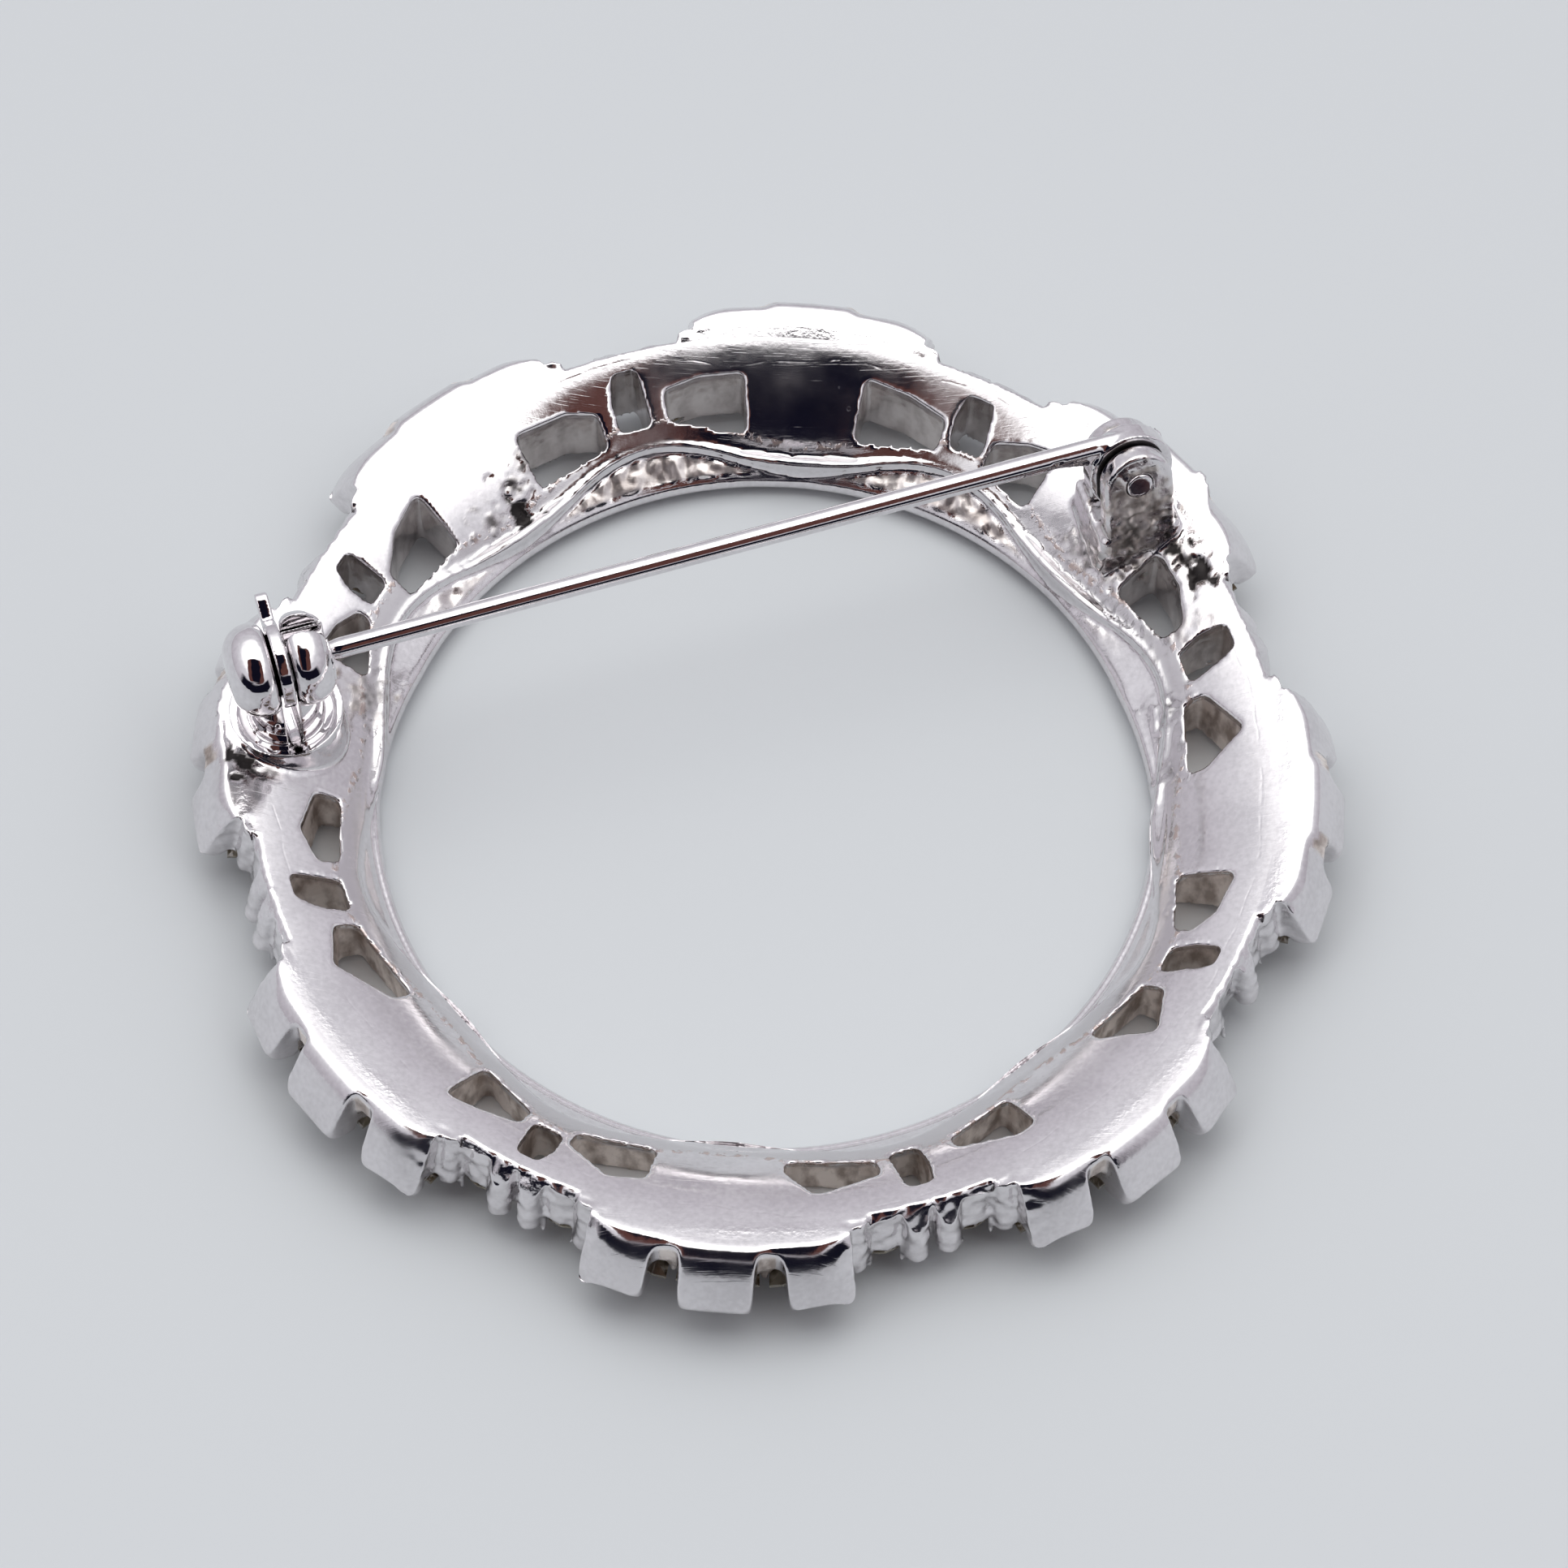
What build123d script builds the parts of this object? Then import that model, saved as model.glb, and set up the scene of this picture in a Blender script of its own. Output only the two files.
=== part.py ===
from build123d import *

import os
from math import cos, hypot, radians, sin, sqrt, tan

# Circle pin brooch, lying face down with its pinned back up.
# +Z is up, the floor is z = 0, the centre of the ring is on the Z axis.

# Plan of the ring
RING_R = 16.9            # circle through the eight small openings
PERIODS = 8              # lobes round the ring
FIRST_WAIST = -70.9      # direction of the first waist, degrees
PERIOD = 360 / PERIODS

# Section of the ring
PLATE_Z = 3.2            # height of the back plate over RING_R
DOME_R = 9.6             # radius of the back plate's arc in section
DOME_SLOPE = 28.8        # its slope at RING_R, degrees, rising outwards
LIP_R = 14.5             # inside this the plate levels off into a lip
LOBE_IN_R = 13.95        # inner edge of the plate at a lobe
WAIST_IN_R = 15.05       # inner edge of the plate at a waist
LOBE_OUT_R = 19.25       # outer edge of the plate at a lobe
WAIST_OUT_R = 18.4       # outer edge of the plate at a waist
RAIL_IN_R = 14.05        # inner wall of the front rail
RAIL_TOP_Z = 0.72        # top of the front rail where a waist bares it
REST_IN_R = 14.45        # the rail rests on the floor from here
REST_OUT_R = 15.4        # to here
FRONT_TILT = 15.0        # slope of the front outside the rail, degrees
OVERLAP = 0.6            # how far one part of the casting runs into the next

# End blocks of the lobes
BLOCK_TURNS = (-1, 0, 1)
BLOCK_PITCH = 9.4        # between neighbours, degrees
BLOCK_WIDTH = 2.62       # middle block
BLOCK_SIDE_WIDTH = 2.35
BLOCK_ROOT_R = 18.0      # the blocks grow out of the ring here
BLOCK_REACH = 2.88       # outermost point of a middle block past the root
BLOCK_BROW = 0.60        # the back runs on to here, a share of the reach
BLOCK_SIDE_LESS = 0.22   # a side block reaches this much less
BLOCK_TURN = 6.5         # a side block's face turns away, degrees
BLOCK_ROUND = 0.28       # rounding of a block's edges

# Baguette stones of the lobes
BAG_OUT_R = 19.6         # outer end of every baguette
BAG_MID_IN_R = 16.35     # inner end of the middle baguette
BAG_SIDE_IN_R = 17.5     # inner end of the side ones
BAG_MARGIN = 0.34        # space between neighbouring baguettes
BAG_CROWN = 0.28
BAG_GIRDLE = 0.12
BAG_PAVILION = 0.95
TABLE_SHARE = 0.62       # table against outline

# Round stones of the waists
ROUND_R = 0.92
ROUND_PLACE_R = 17.85
ROUND_OFFSET = 5.0       # either side of the waist, degrees
ROUND_SIDES = 12
ROUND_CROWN = 0.30
ROUND_PAVILION = 0.80
COLLET_WALL = 0.24
COLLET_TAPER = 10.0      # the collets narrow upwards, degrees
COLLET_SINK = 0.12       # and end this far under the plate's back
WINDOW_WIDTH = 0.95      # opening in a collet's outer wall
WINDOW_TOP_Z = 1.75
WINDOW_START = 0.55      # from the stone's middle outwards

# Prongs of the waists
PRONG_R = 0.46
PRONG_OFFSETS = (-8.3, -1.75, 1.75, 8.3)
PRONG_TOP_R = 18.35
PRONG_TIP_R = 18.95
PRONG_TIP_Z = 0.95

# Small stones and beads of the rail
RAIL_TABLE_Z = 0.06      # the small tables stay this far above the floor
RAIL_STONES = 48
RAIL_STONE_R = 0.42
RAIL_STONE_PLACE_R = 14.66
RAIL_STONE_SIDES = 8
RAIL_STONE_CROWN = 0.16
RAIL_STONE_PAVILION = 0.34
RAIL_BEAD_R = 0.36
RAIL_BEAD_RISE = 0.07    # the beads stand this much above the rail
RAIL_BEAD_DEPTH = 0.18   # reach this far down into it
RAIL_BEAD_INSET = 0.42   # and stand this far in from its inner wall

# Stones stand this much proud of the metal, and clear of it
TABLE_PROUD = 0.06
SEAT_GAP = 0.05

# Pin
STEM_DIR = 199.4         # from the hinge to the catch, degrees
SWING_TILT = 18.0        # the stem lifts out this much off upright, degrees
STEM_Z = 7.17            # height of the stem's axis
STEM_START = (12.75, 11.78)
STEM_SPAN = 31.86        # from the eye to the middle of the barrel
STEM_ROOT_R = 0.40
STEM_TIP_R = 0.37
TIP_END_R = 0.12
TIP_TAPER = 1.5
GUSSET = 3.6             # the stem's thickened stretch beside the eye

# Hinge
EYE_R = 1.60
EYE_WIDTH = 0.86
EYE_GAP = 0.06
EYE_CLEAR = 0.20         # between the eye and the pad below it
EAR_R = 1.32
EAR_WIDTH = 0.80
EAR_FOOT_WIDTH = 2.64
EAR_ROUND = 0.14
RIVET_R = 0.50
RIVET_FIT = 0.04
RIVET_SEAT = 0.02        # between the rivet and the ears
RIVET_PROUD = 0.05
PAD_MARGIN = 0.25
PAD_SHIFT = 0.45         # the pad follows the leaning ears this much
PAD_SINK = 1.0           # the pad and the catch's foot go this deep into the plate

# Catch
BARREL_R = 1.70
BARREL_LENGTH = 3.75
BEAD_ROUND = 0.50        # rounding of the beads beside the slot
BEAD_END_ROUND = 1.02    # and at their outer ends
COLLAR_SLOT = 0.56
COLLAR_GAP = 0.05        # between the collar and each bead
BORE_R = 1.16
BORE_END = 0.45          # closed end of the barrel beyond the sleeve
SLEEVE_FIT = 0.06
SLEEVE_BORE_R = 0.47
EXIT_WIDTH = 0.94        # the way out for the pin's tip
TIP_IN = 1.20            # the tip reaches this far into the barrel
COLLAR_R = 1.58
COLLAR_FROM = 66.0       # the lever stands at this end, degrees off upright
COLLAR_SWEEP = 215.0
LEVER_REACH = 2.62
LEVER_WIDTH = 0.62
NECK_R = 1.32
FLANGE_R = 2.05
FLANGE_Z = 4.15
FLANGE_RIM = 0.30
DISH_DEPTH = 0.32

DOME_C_R = RING_R + DOME_R * sin(radians(DOME_SLOPE))
DOME_C_Z = PLATE_Z - DOME_R * cos(radians(DOME_SLOPE))

# Back openings, charted by hand. Angles are from the waist, radii are shares
# of RING_R. "near" is the side beside the small opening, "far" the lobe's side.
OPENING_ROUND = 0.22
SIDE_OPENINGS = (
    # waist, near, far, near_in, near_out, far_in, far_out, peak, peak_out
    (0, -3.9, -15.3, 0.937, 0.977, 0.900, 0.940, -12.0, 1.010),
    (0, 6.1, 15.6, 0.933, 0.966, 0.902, 0.998, 13.0, 1.005),
    (1, -5.0, -14.6, 0.932, 0.975, 0.902, 0.930, -10.9, 1.022),
    (1, 4.2, 12.8, 0.931, 0.966, 0.900, 1.018, 7.0, 1.000),
    (2, -5.9, -16.2, 0.922, 0.963, 0.905, 0.938, -12.2, 1.024),
    (2, 4.5, 14.6, 0.930, 0.974, 0.906, 1.012, 9.5, 1.006),
    (3, -3.7, -11.8, 0.925, 0.977, 0.903, 1.020, -8.0, 1.006),
    (3, 3.4, 14.9, 0.926, 0.981, 0.900, 1.018, 9.0, 1.004),
    (4, -4.1, -14.6, 0.937, 0.994, 0.900, 1.012, -9.0, 1.010),
    (4, 5.2, 16.3, 0.918, 0.981, 0.900, 1.006, 9.0, 1.002),
    (5, -3.4, -13.8, 0.905, 0.957, 0.904, 1.026, -8.0, 1.000),
    (5, 3.7, 11.2, 0.945, 0.969, 0.900, 1.006, 7.0, 0.994),
    (6, -4.1, -14.0, 0.928, 0.972, 0.912, 0.962, -8.5, 0.996),
    (6, 5.6, 17.4, 0.935, 0.983, 0.902, 0.947, 11.0, 1.020),
    (7, -3.7, -12.6, 0.934, 0.979, 0.900, 1.022, -9.0, 1.006),
    (7, 2.9, 13.1, 0.932, 0.971, 0.900, 0.998, 8.9, 1.018),
)
SMALL_OPENINGS = (
    # waist, offset, half_width, inner, outer, lean
    (0, -0.1, 2.1, 0.925, 1.036, 0.0),
    (1, 0.1, 2.0, 0.943, 1.046, 0.8),
    (2, -0.5, 2.5, 0.944, 1.050, 0.5),
    (3, -0.1, 2.5, 0.940, 1.046, 0.3),
    (4, 0.5, 2.3, 0.935, 1.048, -0.2),
    (5, -0.3, 2.1, 0.955, 1.050, -0.3),
    (6, 0.5, 2.4, 0.935, 1.040, -0.8),
    (7, -0.1, 2.1, 0.957, 1.052, 0.0),
)


def back_z(r):
    """Height of the back plate at a radius."""
    return DOME_C_Z + sqrt(DOME_R ** 2 - (r - DOME_C_R) ** 2)


def front_z(r):
    """Height of the front face at a radius; it is flat over the rail."""
    return max(0, r - REST_OUT_R) * tan(radians(FRONT_TILT))


def waist_dir(k):
    return FIRST_WAIST + PERIOD * k


def lobe_dir(k):
    return waist_dir(k) + PERIOD / 2


def polar(r, a):
    return (r * cos(radians(a)), r * sin(radians(a)))


def ring_points(radius, sides):
    return [polar(radius, 360 * i / sides) for i in range(sides)]


def wave(lobe_r, waist_r):
    """Points of a closed wavy outline, four to each period."""
    mean, swing = (lobe_r + waist_r) / 2, (lobe_r - waist_r) / 2
    steps = 4 * PERIODS
    turns = [360 * i / steps for i in range(steps)]
    return [polar(mean - swing * cos(radians(PERIODS * turn)), FIRST_WAIST + turn) for turn in turns]


def side_opening(row):
    """Corners of a large opening from a row of the chart."""
    waist, near, far, near_in, near_out, far_in, far_out, peak, peak_out = row
    corners = ((near_in, near), (near_out, near), (peak_out, peak), (far_out, far), (far_in, far))
    return [polar(RING_R * share, waist_dir(waist) + turn) for share, turn in corners]


def small_opening(row):
    """Corners of a small opening: narrower at its outer end, bulged on one side."""
    waist, offset, half, inner, outer, lean = row
    corners = (
        (inner, -half - lean), (inner, half * 0.9 - lean), ((inner + outer) / 2, half),
        (outer, half * 0.7 + lean), (outer, -half * 0.7 + lean),
    )
    return [polar(RING_R * share, waist_dir(waist) + offset + turn) for share, turn in corners]


def stone_frame(r, a, tilt=FRONT_TILT):
    """Plane of a stone's seat: x outwards up the front's slope, z into the metal."""
    c, s = polar(1, a)
    ct, st = cos(radians(tilt)), sin(radians(tilt))
    return Plane(origin=(r * c, r * s, front_z(r)), x_dir=(c * ct, s * ct, st), z_dir=(-c * st, -s * st, ct))


def trapezoid(shape, grow=0.0, share=1.0):
    """Corners of a tapered outline that starts at x = 0, grown or shrunk about its middle."""
    length, width_in, width_out = shape
    half = length / 2 * share + grow
    mean = (width_in + width_out) / 4 * share + grow
    slope = (width_out - width_in) / 4 * share
    x_in, x_out = length / 2 - half, length / 2 + half
    return [(x_in, slope - mean), (x_out, -slope - mean), (x_out, mean + slope), (x_in, mean - slope)]


def outline_stack(levels):
    """Solid through a few flat outlines, each given with its height."""
    with BuildPart() as stack:
        for height, points in levels:
            with BuildSketch(Plane.XY.offset(height)):
                Polygon(*points, align=None)
        loft(ruled=True)
    return stack.part


def baguette(shape):
    """Step-cut baguette, its table down."""
    girdle = BAG_CROWN - TABLE_PROUD
    top = girdle + BAG_GIRDLE
    return outline_stack((
        (-TABLE_PROUD, trapezoid(shape, share=TABLE_SHARE)),
        (girdle, trapezoid(shape)),
        (top, trapezoid(shape)),
        (top + BAG_PAVILION * 0.55, trapezoid(shape, share=0.58)),
        (top + BAG_PAVILION, trapezoid(shape, share=0.16)),
    ))


def baguette_seat(shape):
    """What a baguette's seat takes out of the metal."""
    top = BAG_CROWN - TABLE_PROUD + BAG_GIRDLE + SEAT_GAP
    return outline_stack((
        (-BAG_PAVILION, trapezoid(shape, grow=SEAT_GAP)),
        (top, trapezoid(shape, grow=SEAT_GAP)),
        (top + BAG_PAVILION + SEAT_GAP, trapezoid(shape, grow=SEAT_GAP, share=0.3)),
    ))


def baguette_place(k, j):
    """Seat plane and shape of baguette j of lobe k."""
    start = BAG_SIDE_IN_R if j else BAG_MID_IN_R
    chord = 2 * sin(radians(BLOCK_PITCH / 2))
    length = (BAG_OUT_R - start) / cos(radians(FRONT_TILT))
    shape = (length, start * chord - BAG_MARGIN, BAG_OUT_R * chord - BAG_MARGIN)
    return stone_frame(start, lobe_dir(k) + j * BLOCK_PITCH), shape


def round_stone(radius, sides, crown, pavilion):
    """Round stone with a flat table, its table down."""
    girdle = crown - TABLE_PROUD
    top = girdle + crown / 4
    return outline_stack((
        (-TABLE_PROUD, ring_points(radius * TABLE_SHARE, sides)),
        (girdle, ring_points(radius, sides)),
        (top, ring_points(radius, sides)),
        (top + pavilion, ring_points(radius * 0.08, sides)),
    ))


def round_seat(radius, crown, pavilion):
    """What a round stone's seat takes out of the metal."""
    top = crown - TABLE_PROUD + crown / 4 + SEAT_GAP
    with BuildPart() as seat:
        with BuildSketch(Plane.XZ):
            Polygon(
                (0, -pavilion), (radius + SEAT_GAP, -pavilion), (radius + SEAT_GAP, top),
                (radius * 0.2, top + pavilion), (0, top + pavilion), align=None,
            )
        revolve(axis=Axis.Z)
    return seat.part


def end_block(width):
    """One end block of a lobe, its root over the origin, its face towards +X."""
    brow_x = BLOCK_REACH * BLOCK_BROW
    crest = back_z(BLOCK_ROOT_R + brow_x) - TABLE_PROUD
    rise_x, chin_x = brow_x / 2, BLOCK_REACH * 0.80
    back_corner = (0, back_z(BLOCK_ROOT_R) - TABLE_PROUD)
    brow = (brow_x, crest)
    face_top = (brow_x + BLOCK_REACH * 0.12, crest * 0.945)
    face_end = (BLOCK_REACH * 0.975, crest * 0.60)
    chin = (chin_x, front_z(BLOCK_ROOT_R + chin_x))
    with BuildPart() as built:
        with BuildSketch(Plane.XZ.offset(-width / 2)):
            with BuildLine():
                ThreePointArc(back_corner, (rise_x, back_z(BLOCK_ROOT_R + rise_x) - TABLE_PROUD), brow)
                ThreePointArc(brow, (brow_x + BLOCK_REACH * 0.075, crest * 0.985), face_top)
                Line(face_top, face_end)
                ThreePointArc(face_end, (BLOCK_REACH, crest * 0.48), chin)
                Polyline(chin, (0, front_z(BLOCK_ROOT_R)), back_corner)
            make_face()
        extrude(amount=width)
        with BuildSketch() as plan:
            Rectangle(2 * BLOCK_REACH, width)
            fillet(plan.vertices(), BLOCK_ROUND)
        extrude(amount=2 * crest, mode=Mode.INTERSECT)
    return built.part


# The cast ring: a domed plate on a solid band, cut to its wavy outline
with BuildPart() as band:
    inner, outer = LOBE_IN_R - OVERLAP, LOBE_OUT_R + OVERLAP
    with BuildSketch(Plane.XZ):
        with BuildLine():
            ThreePointArc((LIP_R, back_z(LIP_R)), (RING_R, PLATE_Z), (outer, back_z(outer)))
            Polyline(
                (outer, back_z(outer)), (outer, front_z(outer)), (REST_OUT_R, 0), (REST_IN_R, 0),
                (inner, RAIL_TOP_Z), (inner, back_z(LIP_R)), (LIP_R, back_z(LIP_R)),
            )
        make_face()
    revolve(axis=Axis.Z)
    with BuildSketch():
        with BuildLine():
            Spline(*wave(LOBE_OUT_R, WAIST_OUT_R), periodic=True)
        make_face()
        with BuildLine():
            Spline(*wave(LOBE_IN_R, WAIST_IN_R), periodic=True)
        make_face(mode=Mode.SUBTRACT)
    extrude(amount=back_z(outer) + OVERLAP, mode=Mode.INTERSECT)

# One bead of the rail
with BuildPart() as rail_bead:
    with BuildSketch(Plane.XY.offset(RAIL_TOP_Z - RAIL_BEAD_DEPTH)):
        Circle(RAIL_BEAD_R)
    extrude(amount=RAIL_BEAD_DEPTH + RAIL_BEAD_RISE)
    fillet(rail_bead.edges().sort_by(Axis.Z)[-1], RAIL_BEAD_RISE)

# The front rail with its beads, bare where the plate draws back at a waist
with BuildPart() as rail:
    rail_round = REST_IN_R - RAIL_IN_R
    rail_back = WAIST_IN_R + OVERLAP
    with BuildSketch(Plane.XZ) as rail_section:
        Polygon(
            (RAIL_IN_R, RAIL_TOP_Z), (RAIL_IN_R, 0), (REST_OUT_R, 0),
            (rail_back, front_z(rail_back)), (rail_back, RAIL_TOP_Z), align=None,
        )
        fillet(rail_section.vertices().group_by(Axis.X)[0].sort_by(Axis.Z)[0], rail_round)
    revolve(axis=Axis.Z)
    bead_start = FIRST_WAIST + 180 / RAIL_STONES
    with PolarLocations(RAIL_IN_R + RAIL_BEAD_INSET, RAIL_STONES, start_angle=bead_start):
        add(rail_bead.part)

# One prong, upright on its round tip
with BuildPart() as prong:
    prong_lean = PRONG_TIP_R - PRONG_TOP_R
    prong_rise = back_z(PRONG_TOP_R) - TABLE_PROUD - PRONG_TIP_Z
    with BuildSketch():
        Circle(PRONG_R)
    extrude(amount=hypot(prong_lean, prong_rise))
    fillet(prong.edges().sort_by(Axis.Z)[0], PRONG_R * 0.9)

# One collet behind a round stone, on the +X side, cut off under the plate's back
with BuildPart() as collet:
    collet_r = ROUND_R + SEAT_GAP + COLLET_WALL
    collet_from, collet_to = ROUND_PLACE_R - collet_r, ROUND_PLACE_R + collet_r
    with BuildSketch(Plane.XY.offset(front_z(ROUND_PLACE_R))):
        with Locations((ROUND_PLACE_R, 0)):
            Circle(collet_r)
    extrude(amount=back_z(ROUND_PLACE_R), taper=COLLET_TAPER)
    with BuildSketch(Plane.XZ):
        Polygon(
            (collet_from, 0), (collet_to, 0), (collet_to, back_z(collet_to) - COLLET_SINK),
            (ROUND_PLACE_R, back_z(ROUND_PLACE_R) - COLLET_SINK),
            (collet_from, back_z(collet_from) - COLLET_SINK), align=None,
        )
    extrude(amount=collet_r, both=True, mode=Mode.INTERSECT)

# Frames of the pin: s along the stem, n level across it, m the way it lifts
s_dir = Vector(*polar(1, STEM_DIR), 0)
n_dir = Vector(s_dir.Y, -s_dir.X, 0)
m_dir = n_dir * sin(radians(SWING_TILT)) + Vector(0, 0, cos(radians(SWING_TILT)))
stem_rise = EYE_R - STEM_ROOT_R
stem_at = Vector(*STEM_START, STEM_Z)
hinge_at = stem_at - m_dir * stem_rise
barrel_at = stem_at + s_dir * STEM_SPAN
hinge_plane = Plane(origin=hinge_at, x_dir=s_dir, z_dir=s_dir.cross(m_dir))
barrel_plane = Plane(origin=barrel_at, x_dir=n_dir, z_dir=s_dir * -1)
ear_inner = EYE_WIDTH / 2 + EYE_GAP
ear_outer = ear_inner + EAR_WIDTH

# The two hinge ears and the pad that they stand on, just clear of the eye
with BuildPart() as ears:
    for side in (-1, 1):
        # in the hinge plane x runs along the stem and y the way it lifts
        with BuildSketch(hinge_plane.offset(side * (ear_inner + ear_outer) / 2)):
            Circle(EAR_R)
            with Locations((0, -EYE_R)):
                Rectangle(EAR_FOOT_WIDTH, 2 * EYE_R)
        extrude(amount=EAR_WIDTH / 2, both=True)
    fillet(ears.edges().filter_by(GeomType.CIRCLE), EAR_ROUND)
    pad_bottom = PLATE_Z - PAD_SINK
    pad_top = hinge_at.Z - EYE_R - EYE_CLEAR
    with BuildSketch(Plane(origin=(hinge_at.X, hinge_at.Y, pad_bottom), x_dir=s_dir)):
        with Locations((0, PAD_SHIFT)):
            RectangleRounded(EAR_FOOT_WIDTH + 2 * PAD_MARGIN, 2 * (ear_outer + PAD_MARGIN), PAD_MARGIN)
    extrude(amount=pad_top - pad_bottom)
    with BuildSketch(hinge_plane):
        Circle(RIVET_R + RIVET_SEAT)
    extrude(amount=ear_outer + RIVET_PROUD, both=True, mode=Mode.SUBTRACT)

# The catch's housing: a flange with a dish, the neck in its middle, and two beads end to end,
# parted by a slot and bored for the sleeve, with the pin's way out through one of them
with BuildPart() as housing:
    dish_z = FLANGE_Z - DISH_DEPTH
    core_r = min(BORE_R, BARREL_R - BEAD_ROUND) - SLEEVE_FIT
    exit_angle = 90 - SWING_TILT
    reach = 2 * BARREL_R
    with BuildSketch(Plane((barrel_at.X, barrel_at.Y, PLATE_Z - PAD_SINK))):
        Circle(FLANGE_R)
    extrude(amount=FLANGE_Z - PLATE_Z + PAD_SINK)
    with BuildSketch(Plane((barrel_at.X, barrel_at.Y, dish_z))):
        Circle(FLANGE_R - FLANGE_RIM)
    extrude(amount=DISH_DEPTH, mode=Mode.SUBTRACT)
    with BuildSketch(Plane((barrel_at.X, barrel_at.Y, dish_z))):
        Circle(NECK_R)
    extrude(amount=barrel_at.Z - dish_z)
    with BuildSketch(Plane(origin=barrel_at, x_dir=s_dir, z_dir=-n_dir)):
        with BuildSketch(mode=Mode.PRIVATE) as bead_section:
            Polygon(
                (-BARREL_LENGTH / 2, 0), (-BARREL_LENGTH / 2, BARREL_R), (-COLLAR_SLOT / 2, BARREL_R),
                (-COLLAR_SLOT / 2, core_r), (COLLAR_SLOT / 2, core_r), (COLLAR_SLOT / 2, BARREL_R),
                (BARREL_LENGTH / 2, BARREL_R), (BARREL_LENGTH / 2, 0), align=None,
            )
            corners = bead_section.vertices().group_by(Axis.Y)[-1].sort_by(Axis.X)
            fillet(corners[1:3], BEAD_ROUND)
            corners = bead_section.vertices().group_by(Axis.Y)[-1].sort_by(Axis.X)
            fillet([corners[0], corners[-1]], BEAD_END_ROUND)
        add(bead_section.sketch)
    revolve(axis=Axis(barrel_at, s_dir))
    # the slot between the beads runs on down through the neck
    with BuildSketch(Plane(origin=(barrel_at.X, barrel_at.Y, dish_z), x_dir=s_dir)):
        Rectangle(COLLAR_SLOT, 3 * NECK_R)
    extrude(amount=barrel_at.Z - dish_z, mode=Mode.SUBTRACT)
    with BuildSketch(barrel_plane.offset(BORE_END - BARREL_LENGTH / 2)):
        Circle(BORE_R)
    extrude(amount=BARREL_LENGTH, mode=Mode.SUBTRACT)
    with BuildSketch(barrel_plane.offset(COLLAR_SLOT / 2)):
        with Locations(Location((*polar(reach / 2, exit_angle), 0), (0, 0, exit_angle))):
            Rectangle(reach, EXIT_WIDTH)
    extrude(amount=BARREL_LENGTH, mode=Mode.SUBTRACT)

# One window in a collet's outer wall, its inner end over the origin
with BuildPart() as window:
    with BuildSketch():
        Rectangle(2 * ROUND_R, WINDOW_WIDTH, align=(Align.MIN, Align.CENTER))
    extrude(amount=WINDOW_TOP_Z)

# The stones and the seats cut for them, placed round the ring
baguettes, rounds, rail_stones_list, seats = [], [], [], []
for k in range(PERIODS):
    for j in BLOCK_TURNS:
        place, shape = baguette_place(k, j)
        baguettes.append(baguette(shape).moved(place.location))
        seats.append(baguette_seat(shape).moved(place.location))
for k in range(PERIODS):
    for offset in (-ROUND_OFFSET, ROUND_OFFSET):
        a = waist_dir(k) + offset
        place = stone_frame(ROUND_PLACE_R, a).location
        rounds.append(round_stone(ROUND_R, ROUND_SIDES, ROUND_CROWN, ROUND_PAVILION).moved(place))
        seats.append(round_seat(ROUND_R, ROUND_CROWN, ROUND_PAVILION).moved(place))
        seats.append(window.part.moved(Location((*polar(ROUND_PLACE_R + WINDOW_START, a), 0), (0, 0, a))))
small_stone = round_stone(RAIL_STONE_R, RAIL_STONE_SIDES, RAIL_STONE_CROWN, RAIL_STONE_PAVILION)
small_seat = round_seat(RAIL_STONE_R, RAIL_STONE_CROWN, RAIL_STONE_PAVILION)
for i in range(RAIL_STONES):
    a = FIRST_WAIST + i * 360 / RAIL_STONES
    place = Location((*polar(RAIL_STONE_PLACE_R, a), RAIL_TABLE_Z + TABLE_PROUD))
    rail_stones_list.append(small_stone.moved(place))
    seats.append(small_seat.moved(place))

# What stands on the cast ring, all round it
block, side_block = end_block(BLOCK_WIDTH), end_block(BLOCK_SIDE_WIDTH)
blocks, prongs, collets = [], [], []
for k in range(PERIODS):
    for j in BLOCK_TURNS:
        a = lobe_dir(k) + j * BLOCK_PITCH
        root = BLOCK_ROOT_R - (BLOCK_SIDE_LESS if j else 0)
        one_block = side_block if j else block
        blocks.append(one_block.moved(Location((*polar(root, a), 0), (0, 0, a + j * BLOCK_TURN))))
    for offset in (-ROUND_OFFSET, ROUND_OFFSET):
        collets.append(collet.part.moved(Location((0, 0, 0), (0, 0, waist_dir(k) + offset))))
    for offset in PRONG_OFFSETS:
        c, s = polar(1, waist_dir(k) + offset)
        lean = (-prong_lean * c, -prong_lean * s, prong_rise)
        foot = Plane(origin=(PRONG_TIP_R * c, PRONG_TIP_R * s, PRONG_TIP_Z), x_dir=(-s, c, 0), z_dir=lean)
        prongs.append(prong.part.moved(foot.location))

# The frame: everything that is cast or soldered together
with BuildPart() as ring_frame:
    add(band.part)
    add(ears.part)
    add(housing.part)
    add(rail.part)
    add(collets)
    add(prongs)
    add(blocks)
    with BuildSketch():
        for outline, chart in ((side_opening, SIDE_OPENINGS), (small_opening, SMALL_OPENINGS)):
            for row in chart:
                with BuildSketch(mode=Mode.PRIVATE) as one_opening:
                    Polygon(*outline(row), align=None)
                    fillet(one_opening.vertices(), OPENING_ROUND)
                add(one_opening.sketch)
    extrude(amount=back_z(LOBE_OUT_R) + OVERLAP, mode=Mode.SUBTRACT)
    add(seats, mode=Mode.SUBTRACT)

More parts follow.
